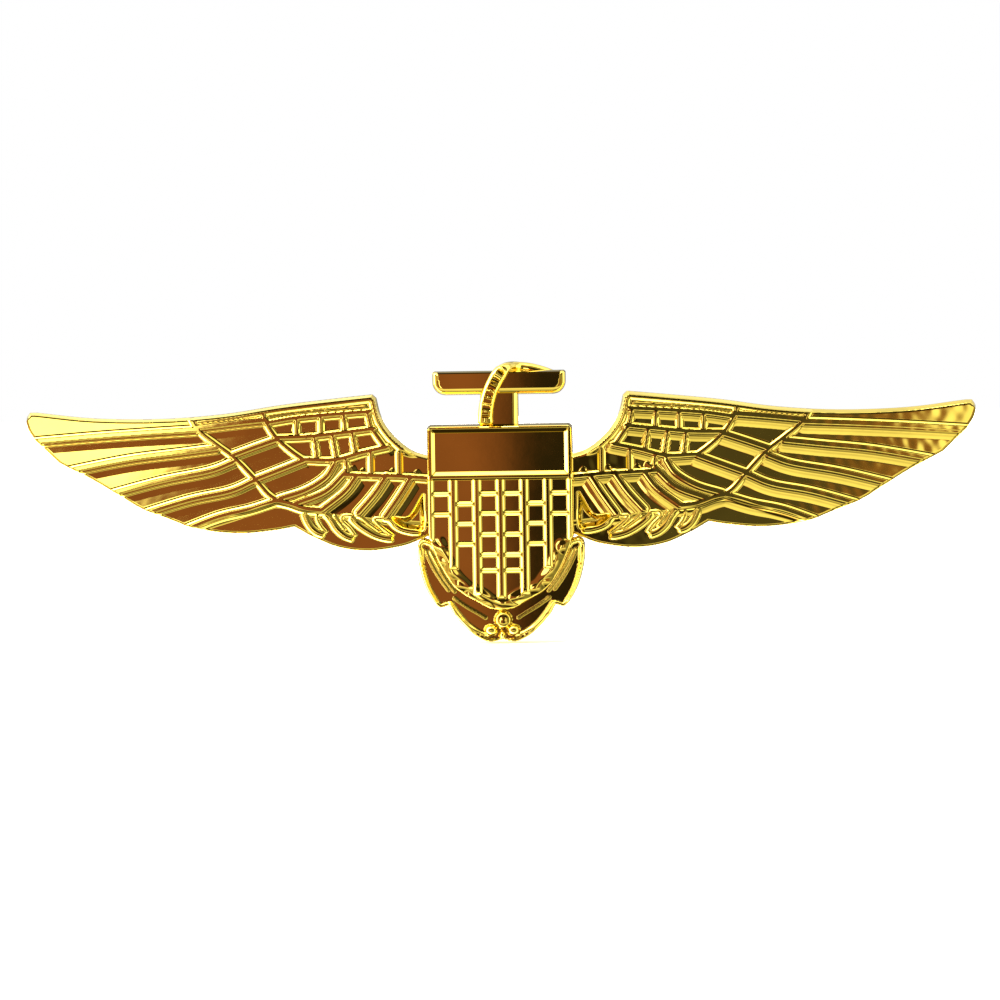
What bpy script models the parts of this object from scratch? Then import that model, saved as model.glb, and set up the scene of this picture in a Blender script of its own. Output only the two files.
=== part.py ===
"""Pilot wings badge: struck wings, fouled anchor and ribbed shield, worn on three posts with spring clutches.

The face looks along -Y, +X is the viewer's right and +Z is up. The origin is the middle of the flat back.
Every size below is in millimetres; the meshes are built in metres.
"""

import math

import bmesh
import bpy
from mathutils import Vector

MM = 0.001

# Overall sizes.
WING_SPAN = 70.0
WING_HEIGHT = 11.57
SHIELD_WIDTH = 10.72
SHIELD_TOP = 4.15
SHIELD_DROP = 9.65
CHIEF_HEIGHT = 4.05

# Layers, front to back, and the hairline gap that solder fills.
PLATE_THICKNESS = 0.9
SHANK_THICKNESS = 1.0
SHIELD_THICKNESS = 1.75
SOLDER_GAP = 0.05

# Relief.
FEATHER_RIDGE_HEIGHT = 0.35
FEATHER_RIDGE_WIDTH = 0.42
RIDGE_TOP_SHARE = 0.45
SHIELD_RIB_COUNT = 7
SHIELD_RIB_PITCH = 1.73
SHIELD_RIB_WIDTH = 0.75
SHIELD_RIB_HEIGHT = 0.4
SHIELD_CORNER = 0.35
LADDER_BAR_WIDTH = 0.4
LADDER_BAR_HEIGHT = 0.25
LADDER_BAR_BEVEL = 0.1
CHIEF_FRAME_HEIGHT = 0.5
CHIEF_FRAME_WIDTH = 0.62
CHIEF_FRAME_BEVEL = 0.3
CHIEF_RECESS_DEPTH = 0.35
RELIEF_ROOT = 0.2
ARM_RISE = 0.75
ARM_EDGE_BEVEL = 0.12
ARM_VEIN_WIDTH = 0.32
ARM_VEIN_HEIGHT = 0.22

# Anchor.
STOCK_WIDTH = 9.8
STOCK_HEIGHT = 1.75
STOCK_TOP = 8.05
STOCK_CORNER = 0.96
STOCK_BEVEL = 0.15
STOCK_OVERLAP = 0.5
SHANK_WIDTH = 2.8
CROWN_BALL_RADIUS = 0.62
ROPE_RADIUS = 0.42

# Rivets through web, shank and shield.
RIVET_RADIUS = 0.5
RIVET_HEAD_RADIUS = 0.85
RIVET_HEAD_HEIGHT = 0.35
RIVET_DEPTH = 2.35
RIVET_EDGE = 1.1
WEB_TAPER = 0.6
UPPER_RIVET_HEIGHT = 2.6
LOWER_RIVET_DROP = 6.3

# Blank cartouche engraved round the origin of the back.
CARTOUCHE_WIDTH = 4.2
CARTOUCHE_HEIGHT = 1.3
ENGRAVING_WIDTH = 0.15
ENGRAVING_DEPTH = 0.1

# Posts.
POST_SPACING = 12.5
SIDE_POST_HEIGHT = 0.7
CENTRE_POST_DROP = 2.6
POST_RADIUS = 0.575
POST_LENGTH = 8.3
POST_FLANGE_RADIUS = 1.3
POST_FLANGE_THICKNESS = 0.3
POST_GROOVE_DEPTH = 0.13
POST_GROOVE_LENGTH = 0.7
POST_COLLAR = 0.2
POST_TIP_LENGTH = 0.9
POST_TIP_RADIUS = 0.17

# Clutches, measured from their own base.
CLOTH_GAP = 2.4
CLUTCH_RADIUS = 5.0
CLUTCH_BASE_THICKNESS = 0.35
CLUTCH_RIM_HEIGHT = 0.95
CLUTCH_RIM_WIDTH = 0.4
CAP_RADIUS = 3.3
CAP_HEIGHT = 3.2
CAP_WALL = 0.3
CAP_FLANGE = 0.75
CAP_SHOULDER = 0.35
CAP_INNER_FILLET = 0.2
WINDOW_EDGE = 0.15
EDGE_ROUND = 0.15
POST_CLEARANCE = 0.15
LEVER_WIDTH = 2.6
LEVER_THICKNESS = 0.28
LEVER_CLEARANCE = 0.3
LEVER_PIVOT_RADIUS = 2.45
LEVER_PIVOT_HEIGHT = 1.6
LEVER_JAW_RADIUS = 0.35

ROUND_STEPS = 24

# Reference drawing of the right wing, as (outward, up). wing_point() stretches it to the sizes above.
DRAWN_ROOT = 5.36
DRAWN_TIP = 35.0
DRAWN_WING_HEIGHT = 11.57
DRAWN_SHIELD_DROP = 9.65

SHOULDER = [(5.36, 1.85), (6.3, 2.15), (7.2, 2.75), (8.1, 3.65), (8.75, 4.75), (9.1, 6.15)]
LEADING_EDGE = [
    (9.4, 6.42), (12.1, 6.16), (16.2, 5.72), (20.4, 5.12), (25.0, 4.82), (30.0, 4.93), (34.3, 5.42),
]
WING_TIP = [(34.75, 5.42), (35.0, 4.95), (34.85, 4.15), (34.3, 3.3)]
TRAILING_EDGE = [
    (32.6, 1.65), (30.3, 0.45), (28.3, -0.75), (26.6, -1.8), (24.6, -2.6), (22.4, -3.4),
    (19.4, -3.74), (16.8, -3.55), (15.3, -3.3),
]
BELLY = [(14.2, -3.95), (12.1, -4.85), (9.8, -5.15), (7.4, -4.85), (6.1, -4.4), (5.36, -4.1)]

RIM = [(6.9, 2.3), (7.9, 3.0), (8.75, 4.0), (9.3, 5.3), (9.5, 5.95)]
TOP_LINE = [(9.5, 5.95), (13.0, 5.7), (17.4, 5.2), (22.6, 4.7), (27.0, 4.5), (31.5, 4.55)]
COVERT_ROWS = [
    [(9.7, 5.15), (12.5, 4.95), (15.0, 4.75), (17.2, 4.4)],
    [(9.3, 3.85), (11.5, 3.6), (14.0, 3.35), (16.5, 3.3)],
    [(8.4, 2.45), (10.2, 2.1), (12.2, 1.6), (14.5, 1.65)],
    [(5.9, 0.2), (7.6, 0.35), (9.6, 0.4), (11.5, 0.5)],
]
COVERT_BARS = [
    [(11.5, 5.0), (11.45, 3.65)], [(13.2, 4.9), (13.2, 3.45)], [(15.0, 4.75), (14.95, 3.35)],
    [(10.9, 3.65), (10.65, 2.0)], [(12.35, 3.5), (12.05, 1.65)], [(13.7, 3.35), (13.5, 1.65)],
    [(7.45, 2.1), (7.45, 0.35)], [(9.55, 2.2), (9.55, 0.4)], [(11.4, 1.8), (11.3, 0.5)],
]
BAND_EDGES = [
    [(17.5, 5.2), (17.2, 4.4), (16.5, 3.3), (15.4, 2.3), (14.5, 1.65)],
    [(22.7, 4.7), (22.2, 3.9), (20.9, 2.85), (19.6, 1.75), (18.1, 0.25), (17.2, -0.8), (16.5, -1.3)],
]
BAND_FEATHERS = [
    [(17.2, 4.4), (19.5, 4.25), (22.2, 3.9)], [(16.5, 3.3), (18.0, 2.7), (19.6, 1.95)],
    [(14.5, 1.65), (16.2, 0.95), (18.1, 0.25)], [(12.2, 1.3), (12.9, 0.3), (14.4, -0.6), (16.5, -1.3)],
]
SECONDARIES = [
    [(6.7, 0.2), (7.6, -1.2), (8.4, -2.6)], [(8.4, 0.35), (9.3, -0.95), (10.3, -2.25)],
    [(10.6, 0.4), (11.5, -0.75), (13.1, -2.1)], [(11.5, 0.5), (13.0, -0.7), (15.2, -1.7)],
]
PRIMARIES = [
    [(22.2, 3.9), (26.0, 3.72), (30.0, 3.5), (34.6, 3.15)],
    [(20.9, 2.85), (23.5, 2.25), (27.5, 1.85), (32.0, 1.1)],
    [(19.6, 1.75), (21.5, 0.9), (25.0, 0.2), (29.0, -0.75)],
    [(18.1, 0.25), (20.0, -0.65), (23.0, -1.25), (26.3, -2.1)],
    [(16.5, -1.3), (18.5, -1.95), (20.8, -2.55), (23.0, -3.4)],
]
BELLY_TIPS = [
    [(10.9, -2.5), (10.3, -3.3), (9.3, -3.95), (7.9, -4.2)],
    [(12.8, -2.4), (12.3, -3.3), (11.6, -3.95), (10.7, -4.15)],
    [(14.3, -2.1), (14.0, -3.0), (13.5, -3.55), (12.9, -3.75)],
]
ROOT_HOLLOW = [(5.75, -0.9), (7.9, -2.75), (7.2, -3.45), (5.9, -3.7)]

# Reference drawing of the lower shield and of one anchor arm.
SHIELD_SIDE = [
    (5.36, -4.1), (4.95, -5.4), (4.1, -7.1), (3.2, -8.15), (2.0, -8.85), (1.0, -9.4), (0.0, -9.65),
]
ARM_LEAF = [
    (5.7, -4.15), (6.14, -4.6), (6.12, -6.0), (5.75, -7.5), (5.2, -8.65), (4.6, -9.32), (3.95, -9.2),
]
ARM_BOTTOM = [(3.6, -9.85), (2.75, -10.8), (1.9, -11.5), (0.95, -11.9), (0.0, -11.72)]
ARM_INSIDE = [(0.0, -9.0), (2.0, -8.0), (3.6, -6.4), (5.0, -4.4)]
ARM_VEINS = [
    [(5.85, -4.9), (5.6, -6.9), (4.55, -8.75)], [(5.6, -5.1), (4.7, -7.1), (3.75, -8.5)],
    [(3.6, -8.95), (2.3, -10.3), (0.9, -11.2)],
]
CROWN_BALL = (0.0, -10.5)
RIB_ENDS = [-4.15, -6.2, -8.1, -8.35]
LADDER_LEVELS = [[-0.9, -2.5], [-1.6, -3.2, -4.8], [-0.9, -2.4, -4.0, -5.5, -6.6]]

# Route of the rope's middle, as (x, y, z): up the face of the shank, over the stock and down behind it.
ROPE_ROUTE = [
    (-1.08, -2.45, 4.68), (-0.95, -2.45, 5.5), (-0.68, -2.45, 6.4), (-0.28, -2.45, 7.2), (0.12, -2.3, 7.85),
    (0.5, -1.8, 8.2), (0.95, -0.95, 8.25), (1.5, -0.45, 8.13), (2.3, -0.45, 7.95), (3.2, -0.45, 7.6),
]


# ---- Frame arithmetic -------------------------------------------------------------------------------------

SHIELD_HALF = SHIELD_WIDTH / 2
SHANK_BACK = -PLATE_THICKNESS - SOLDER_GAP
SHANK_FRONT = SHANK_BACK - SHANK_THICKNESS
SHIELD_FRONT = SHANK_BACK - SHIELD_THICKNESS
ARM_FRONT = SHANK_FRONT - ARM_RISE
STATIONS = {
    "left": (-POST_SPACING, SIDE_POST_HEIGHT),
    "centre": (0.0, -CENTRE_POST_DROP),
    "right": (POST_SPACING, SIDE_POST_HEIGHT),
}


def wing_point(point):
    """A point of the drawn wing, stretched from the shield's side to the span and height above."""
    stretch = (WING_SPAN / 2 - SHIELD_HALF) / (DRAWN_TIP - DRAWN_ROOT)
    return (SHIELD_HALF + (point[0] - DRAWN_ROOT) * stretch, point[1] * WING_HEIGHT / DRAWN_WING_HEIGHT)


def centre_point(point):
    """A point of the drawn shield and anchor arms, stretched to the shield's size."""
    return (point[0] * SHIELD_HALF / DRAWN_ROOT, point[1] * SHIELD_DROP / DRAWN_SHIELD_DROP)


def smooth(points, steps):
    """A Catmull-Rom curve through the points, steps pieces to each span."""
    ends = [Vector(points[0]) * 2 - Vector(points[1])]
    ends += [Vector(point) for point in points]
    ends.append(Vector(points[-1]) * 2 - Vector(points[-2]))
    curve = []
    for i in range(1, len(ends) - 2):
        before, start, end, after = ends[i - 1 : i + 3]
        for step in range(steps):
            t = step / steps
            bend = 2 * before - 5 * start + 4 * end - after
            twist = 3 * start - before - 3 * end + after
            curve.append(start + t * (end - before) / 2 + t * t * bend / 2 + t**3 * twist / 2)
    return curve + [ends[-2]]


def mirrored(points):
    return [(-point[0], point[1]) for point in points]


def grown(points, distance):
    """The closed outline moved outwards. The outline runs clockwise as the viewer sees it."""
    moved = []
    for i, point in enumerate(points):
        here = Vector(point)
        along_in = (here - Vector(points[i - 1])).normalized()
        along_out = (Vector(points[(i + 1) % len(points)]) - here).normalized()
        outwards = Vector((-along_in.y - along_out.y, along_in.x + along_out.x)).normalized()
        spread = max(outwards.dot(Vector((-along_in.y, along_in.x))), 0.5)
        moved.append(tuple(here + outwards * distance / spread))
    return moved


# ---- Mesh tools -------------------------------------------------------------------------------------------


def finished(name, mesh, material=None, at=(0.0, 0.0, 0.0), round_piece=False):
    """Puts a bmesh, built in millimetres round its own origin, in the scene as one object."""
    bmesh.ops.recalc_face_normals(mesh, faces=mesh.faces)
    bmesh.ops.scale(mesh, vec=(MM, MM, MM), verts=mesh.verts)
    data = bpy.data.meshes.new(name)
    mesh.to_mesh(data)
    mesh.free()
    thing = bpy.data.objects.new(name, data)
    thing.location = Vector(at) * MM
    bpy.context.scene.collection.objects.link(thing)
    if round_piece:
        data.shade_smooth()
        data.set_sharp_from_angle(angle=math.radians(35))
    if material:
        data.materials.append(material)
    return thing


def helper(name, mesh):
    """A cutter or another Boolean operand."""
    thing = finished(name, mesh)
    thing.hide_render = True
    thing.display_type = "WIRE"
    return thing


def combine(target, operation, other):
    modifier = target.modifiers.new(f"{operation} {other.name}", "BOOLEAN")
    modifier.operation = operation
    modifier.object = other
    modifier.use_self = operation == "UNION"


def add_prism(mesh, outline, back, front, inset=0.0):
    """Adds a slab with this outline, whose front edge is drawn in by inset."""
    rear = [mesh.verts.new((x, back, z)) for x, z in outline]
    near = [mesh.verts.new((x, front, z)) for x, z in grown(outline, -inset)]
    mesh.faces.new(rear)
    mesh.faces.new(list(reversed(near)))
    for i in range(len(rear)):
        j = (i + 1) % len(rear)
        mesh.faces.new((rear[i], near[i], near[j], rear[j]))


def add_block(mesh, left, right, bottom, top, back, front, inset=0.0):
    add_prism(mesh, [(left, bottom), (left, top), (right, top), (right, bottom)], back, front, inset)


def add_ridge(mesh, route, width, back, front, steps=2):
    """Adds a ridge of trapezium section along a route on the face."""
    line = smooth(route, steps)
    half = width / 2
    rings = []
    for i, here in enumerate(line):
        along = (line[min(i + 1, len(line) - 1)] - line[max(i - 1, 0)]).normalized()
        side = Vector((-along.y, along.x))
        corners = []
        for reach, depth in ((half, back), (half * RIDGE_TOP_SHARE, front)):
            corners.append((here + side * reach, depth))
            corners.append((here - side * reach, depth))
        order = (corners[0], corners[2], corners[3], corners[1])
        rings.append([mesh.verts.new((spot.x, depth, spot.y)) for spot, depth in order])
    for first, second in zip(rings, rings[1:]):
        for i in range(4):
            j = (i + 1) % 4
            mesh.faces.new((first[i], first[j], second[j], second[i]))
    mesh.faces.new(rings[0])
    mesh.faces.new(list(reversed(rings[-1])))


def add_turned(mesh, profile, x=0.0, z=0.0, closed=False):
    """Spins a profile of (radius, y) round the line through (x, z) parallel to Y."""
    start = [mesh.verts.new((x + radius, y, z)) for radius, y in profile]
    pairs = list(zip(start, start[1:]))
    if closed:
        pairs.append((start[-1], start[0]))
    edges = [mesh.edges.new(pair) for pair in pairs]
    before = set(mesh.verts)
    bmesh.ops.spin(
        mesh, geom=start + edges, cent=(x, 0, z), axis=(0, 1, 0), angle=math.tau, steps=ROUND_STEPS
    )
    spun = start + [vert for vert in mesh.verts if vert not in before]
    bmesh.ops.remove_doubles(mesh, verts=spun, dist=1e-4)


def add_tube(mesh, route, radius, sides=10):
    """Adds a capped round tube along points in space."""
    rings = []
    across = Vector((0, 1, 0))
    for i, here in enumerate(route):
        along = (route[min(i + 1, len(route) - 1)] - route[max(i - 1, 0)]).normalized()
        across = (across - along * across.dot(along)).normalized()
        other = along.cross(across)
        ring = []
        for k in range(sides):
            turn = math.tau * k / sides
            ring.append(mesh.verts.new(here + (across * math.cos(turn) + other * math.sin(turn)) * radius))
        rings.append(ring)
    for first, second in zip(rings, rings[1:]):
        for k in range(sides):
            mesh.faces.new((first[k], first[(k + 1) % sides], second[(k + 1) % sides], second[k]))
    mesh.faces.new(list(reversed(rings[0])))
    mesh.faces.new(rings[-1])


def metal(name, colour, roughness):
    material = bpy.data.materials.new(name)
    material.use_nodes = True
    shader = material.node_tree.nodes["Principled BSDF"]
    shader.inputs["Base Color"].default_value = (*colour, 1)
    shader.inputs["Metallic"].default_value = 1.0
    shader.inputs["Roughness"].default_value = roughness
    return material


# ---- Wings ------------------------------------------------------------------------------------------------


def wing_outline():
    """The whole plate, clockwise from the middle of the web's top."""
    half = []
    for run in (SHOULDER, LEADING_EDGE, WING_TIP, TRAILING_EDGE, BELLY):
        half += smooth([wing_point(point) for point in run], 2)
    lug = SHANK_WIDTH / 2 + RIVET_EDGE
    top = UPPER_RIVET_HEIGHT + RIVET_EDGE
    bottom = -LOWER_RIVET_DROP - RIVET_EDGE
    half = [(lug, top)] + [tuple(point) for point in half] + [(lug, half[-1].y), (lug * WEB_TAPER, bottom)]
    return half + list(reversed(mirrored(half)))


def make_wing_plate():
    inside = -PLATE_THICKNESS / 2
    surface = -PLATE_THICKNESS
    crest = surface - FEATHER_RIDGE_HEIGHT
    plate = bmesh.new()
    reach = WING_SPAN / 2 + 1
    add_block(plate, -reach, reach, -WING_HEIGHT, WING_HEIGHT, 0, surface)
    wings = finished("wing_plate", plate, metal("wing gold", (0.83, 0.6, 0.16), 0.16))

    ridges = bmesh.new()
    lines = COVERT_ROWS + COVERT_BARS + BAND_EDGES + BAND_FEATHERS + SECONDARIES + PRIMARIES + BELLY_TIPS
    for number, line in enumerate([RIM, TOP_LINE, ROOT_HOLLOW] + lines):
        route = [wing_point(point) for point in line]
        # Crests differ a little, so that two of them never meet in one plane.
        height = crest + 0.002 * (number % 7)
        add_ridge(ridges, route, FEATHER_RIDGE_WIDTH, inside, height)
        add_ridge(ridges, mirrored(route), FEATHER_RIDGE_WIDTH, inside, height)
    combine(wings, "UNION", helper("wing_ridges", ridges))

    # The relief stops short of whatever lies on the plate.
    pockets = bmesh.new()
    floor = surface - SOLDER_GAP / 5
    add_prism(pockets, grown(arms_outline(), SOLDER_GAP), floor, crest - 1)
    add_prism(pockets, grown(shield_outline(), SOLDER_GAP), floor - 0.001, crest - 1.1)
    combine(wings, "DIFFERENCE", helper("pockets", pockets))
    wings.modifiers[-1].use_self = True

    edge = bmesh.new()
    add_prism(edge, wing_outline(), 1, crest - 1)
    combine(wings, "INTERSECT", helper("wing_edge", edge))

    engraving = bmesh.new()
    outer = (CARTOUCHE_WIDTH / 2, CARTOUCHE_HEIGHT / 2)
    inner = (outer[0] - ENGRAVING_WIDTH, outer[1] - ENGRAVING_WIDTH)
    for low, high in ((-outer[1], -inner[1]), (inner[1], outer[1])):
        add_block(engraving, -outer[0], outer[0], low, high, 1, -ENGRAVING_DEPTH)
    # The upright strokes are a hair shorter and shallower, so that they cross the others cleanly.
    less = 0.99
    for low, high in ((-outer[0], -inner[0]), (inner[0], outer[0])):
        add_block(engraving, low, high, -outer[1] * less, outer[1] * less, less, -ENGRAVING_DEPTH * less)
    cutter = helper("cartouche_cutter", engraving)
    combine(wings, "DIFFERENCE", cutter)
    wings.modifiers[-1].use_self = True
    cut_rivet_holes(wings, "web_rivet_holes", 1, surface - 1)


def cut_rivet_holes(target, name, back, front):
    holes = bmesh.new()
    radius = RIVET_RADIUS + SOLDER_GAP
    for height in (UPPER_RIVET_HEIGHT, -LOWER_RIVET_DROP):
        add_turned(holes, [(0, back), (radius, back), (radius, front), (0, front)], z=height)
    combine(target, "DIFFERENCE", helper(name, holes))


# ---- Shield -----------------------------------------------------------------------------------------------


def shield_outline():
    """Clockwise from the upper left corner, whose corners are rounded."""
    side = smooth([centre_point(point) for point in SHIELD_SIDE], 2)
    right = []
    for turn in (90, 45, 0):
        angle = math.radians(turn)
        x = SHIELD_HALF - SHIELD_CORNER + SHIELD_CORNER * math.cos(angle)
        right.append((x, SHIELD_TOP - SHIELD_CORNER + SHIELD_CORNER * math.sin(angle)))
    right += [tuple(point) for point in side]
    return list(reversed(mirrored(right)))[1:] + right


def shield_ribs(top):
    """The upright ribs below the chief and the ladder bars between them."""
    ribs = bmesh.new()
    root = SHIELD_FRONT + RELIEF_ROOT
    middle = (SHIELD_RIB_COUNT - 1) / 2
    half = SHIELD_RIB_WIDTH / 2
    inset = half * (1 - RIDGE_TOP_SHARE)
    pitch = SHIELD_RIB_PITCH * SHIELD_HALF / DRAWN_ROOT
    for number in range(SHIELD_RIB_COUNT):
        x = (number - middle) * pitch
        step = min(number, SHIELD_RIB_COUNT - 1 - number)
        end = centre_point((0, RIB_ENDS[step]))[1]
        add_block(ribs, x - half, x + half, end, top + half, root, SHIELD_FRONT - SHIELD_RIB_HEIGHT, inset)
    root = SHIELD_FRONT + RELIEF_ROOT * 1.1
    crest = SHIELD_FRONT - LADDER_BAR_HEIGHT
    for column in range(SHIELD_RIB_COUNT - 1):
        x = (column - middle) * pitch
        for level in LADDER_LEVELS[min(column, SHIELD_RIB_COUNT - 2 - column)]:
            low = centre_point((0, level))[1] - LADDER_BAR_WIDTH / 2
            high = low + LADDER_BAR_WIDTH
            add_block(ribs, x, x + pitch, low, high, root, crest, LADDER_BAR_BEVEL)
    return ribs


def make_shield():
    body = bmesh.new()
    add_block(body, -SHIELD_WIDTH, SHIELD_WIDTH, -2 * SHIELD_DROP, 2 * SHIELD_TOP, SHANK_BACK, SHIELD_FRONT)
    shield = finished("shield", body, metal("shield gold", (0.83, 0.6, 0.16), 0.14))
    chief_bottom = SHIELD_TOP - CHIEF_HEIGHT
    combine(shield, "UNION", helper("shield_ribs", shield_ribs(chief_bottom)))

    frame = bmesh.new()
    half = SHIELD_HALF + CHIEF_FRAME_BEVEL / 2
    top = SHIELD_TOP + CHIEF_FRAME_BEVEL / 2
    frame_front = SHIELD_FRONT - CHIEF_FRAME_HEIGHT
    root = SHIELD_FRONT + RELIEF_ROOT * 1.2
    add_block(frame, -half, half, chief_bottom, top, root, frame_front, CHIEF_FRAME_BEVEL)
    combine(shield, "UNION", helper("chief_frame", frame))

    recess = bmesh.new()
    floor = frame_front + CHIEF_RECESS_DEPTH
    half = SHIELD_HALF - CHIEF_FRAME_WIDTH
    low = chief_bottom + CHIEF_FRAME_WIDTH
    top = SHIELD_TOP - CHIEF_FRAME_WIDTH
    add_block(recess, -half, half, low, top, floor, floor - 1, -CHIEF_FRAME_BEVEL)
    combine(shield, "DIFFERENCE", helper("chief_recess", recess))

    edge = bmesh.new()
    add_prism(edge, shield_outline(), 1, frame_front - 1)
    combine(shield, "INTERSECT", helper("shield_edge", edge))

    channel = bmesh.new()
    half = SHANK_WIDTH / 2 + SOLDER_GAP
    add_block(channel, -half, half, -2 * SHIELD_DROP, 2 * SHIELD_TOP, 0, SHANK_FRONT - SOLDER_GAP)
    combine(shield, "DIFFERENCE", helper("shank_channel", channel))
    cut_rivet_holes(shield, "shield_rivet_holes", 1, -RIVET_DEPTH - SOLDER_GAP)


# ---- Anchor -----------------------------------------------------------------------------------------------


def arms_outline():
    """Both arms: down the right one, up the left one and back along their inside."""
    right = []
    for run in (ARM_LEAF, ARM_BOTTOM):
        right += [tuple(point) for point in smooth([centre_point(point) for point in run], 2)]
    inside = [centre_point(point) for point in ARM_INSIDE]
    left = list(reversed(mirrored(right)))
    return right + left[1:] + list(reversed(mirrored(inside))) + inside[1:]


def rope_line():
    return smooth(ROPE_ROUTE, 3)


def make_anchor():
    arms = bmesh.new()
    add_prism(arms, arms_outline(), SHANK_BACK, ARM_FRONT, ARM_EDGE_BEVEL)
    anchor = finished("anchor", arms, metal("anchor gold", (0.83, 0.6, 0.16), 0.15))

    veins = bmesh.new()
    for line in ARM_VEINS:
        route = [centre_point(point) for point in line]
        add_ridge(veins, route, ARM_VEIN_WIDTH, SHANK_FRONT, ARM_FRONT - ARM_VEIN_HEIGHT)
        add_ridge(veins, mirrored(route), ARM_VEIN_WIDTH, SHANK_FRONT, ARM_FRONT - ARM_VEIN_HEIGHT + 0.002)
    combine(anchor, "UNION", helper("arm_veins", veins))

    nest = bmesh.new()
    add_prism(nest, grown(shield_outline(), SOLDER_GAP), 1, ARM_FRONT - 2)
    combine(anchor, "DIFFERENCE", helper("shield_nest", nest))

    bars = bmesh.new()
    low = STOCK_TOP - STOCK_HEIGHT
    end = [(STOCK_WIDTH / 2, STOCK_TOP)]
    for turn in (0, 22.5, 45, 67.5, 90):
        angle = math.radians(turn)
        x = STOCK_WIDTH / 2 - STOCK_CORNER + STOCK_CORNER * math.cos(angle)
        end.append((x, low + STOCK_CORNER - STOCK_CORNER * math.sin(angle)))
    add_prism(bars, end + list(reversed(mirrored(end))), SHANK_BACK, SHANK_FRONT, STOCK_BEVEL)
    crown = centre_point(CROWN_BALL)[1]
    # The shank is a hair thinner than the stock, so that the two never share a plane.
    thin = SOLDER_GAP / 2
    half = SHANK_WIDTH / 2
    add_block(bars, -half, half, crown, low + STOCK_OVERLAP, SHANK_BACK - thin, SHANK_FRONT + thin)
    ball = []
    for step in range(7):
        angle = math.radians(-90 + 30 * step)
        ball.append((CROWN_BALL_RADIUS * math.cos(angle), ARM_FRONT - CROWN_BALL_RADIUS * math.sin(angle)))
    add_turned(bars, ball, z=crown)
    combine(anchor, "UNION", helper("stock_and_shank", bars))

    seat = bmesh.new()
    add_tube(seat, rope_line(), ROPE_RADIUS + SOLDER_GAP)
    combine(anchor, "DIFFERENCE", helper("rope_seat", seat))
    cut_rivet_holes(anchor, "shank_rivet_holes", 1, SHANK_FRONT - 0.3)

    rope = bmesh.new()
    add_tube(rope, rope_line(), ROPE_RADIUS)
    finished("anchor_rope", rope, metal("rope gold", (0.83, 0.6, 0.16), 0.2), round_piece=True)


def make_rivets():
    for name, height in (("rivet_upper", UPPER_RIVET_HEIGHT), ("rivet_lower", -LOWER_RIVET_DROP)):
        seat = SOLDER_GAP
        profile = [
            (0, -RIVET_DEPTH), (RIVET_RADIUS, -RIVET_DEPTH), (RIVET_RADIUS, seat), (RIVET_HEAD_RADIUS, seat),
            (RIVET_HEAD_RADIUS * 0.85, seat + RIVET_HEAD_HEIGHT * 0.6),
            (RIVET_HEAD_RADIUS * 0.45, seat + RIVET_HEAD_HEIGHT * 0.95), (0, seat + RIVET_HEAD_HEIGHT),
        ]
        rivet = bmesh.new()
        add_turned(rivet, profile)
        finished(name, rivet, metal(name, (0.72, 0.5, 0.2), 0.3), (0, 0, height), round_piece=True)


# ---- Posts and clutches -----------------------------------------------------------------------------------


def make_post(name, x, z):
    foot = SOLDER_GAP
    flange = foot + POST_FLANGE_THICKNESS
    neck = POST_RADIUS - POST_GROOVE_DEPTH
    shoulder = POST_LENGTH - POST_TIP_LENGTH
    groove_top = shoulder - POST_COLLAR
    groove_bottom = groove_top - POST_GROOVE_LENGTH
    slope = POST_GROOVE_DEPTH
    profile = [
        (0, foot), (POST_FLANGE_RADIUS, foot), (POST_FLANGE_RADIUS, flange - EDGE_ROUND / 2),
        (POST_FLANGE_RADIUS - EDGE_ROUND, flange), (POST_RADIUS, flange), (POST_RADIUS, groove_bottom),
        (neck, groove_bottom + slope), (neck, groove_top - slope), (POST_RADIUS, groove_top),
        (POST_RADIUS, shoulder), (POST_TIP_RADIUS, POST_LENGTH - POST_TIP_RADIUS / 2), (0, POST_LENGTH),
    ]
    post = bmesh.new()
    add_turned(post, profile)
    finished(name, post, metal(name, (0.75, 0.68, 0.5), 0.25), (x, 0, z), round_piece=True)


def make_clutch_base(name, at):
    bore = POST_RADIUS + POST_CLEARANCE
    rim = CLUTCH_RADIUS - CLUTCH_RIM_WIDTH
    profile = [
        (bore, 0), (CLUTCH_RADIUS - EDGE_ROUND, 0), (CLUTCH_RADIUS, EDGE_ROUND),
        (CLUTCH_RADIUS, CLUTCH_RIM_HEIGHT - EDGE_ROUND),
        (CLUTCH_RADIUS - CLUTCH_RIM_WIDTH / 2, CLUTCH_RIM_HEIGHT), (rim, CLUTCH_RIM_HEIGHT - EDGE_ROUND),
        (rim, CLUTCH_BASE_THICKNESS), (bore, CLUTCH_BASE_THICKNESS),
    ]
    base = bmesh.new()
    add_turned(base, profile, closed=True)
    finished(name, base, metal(name, (0.8, 0.6, 0.22), 0.24), at, round_piece=True)


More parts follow.
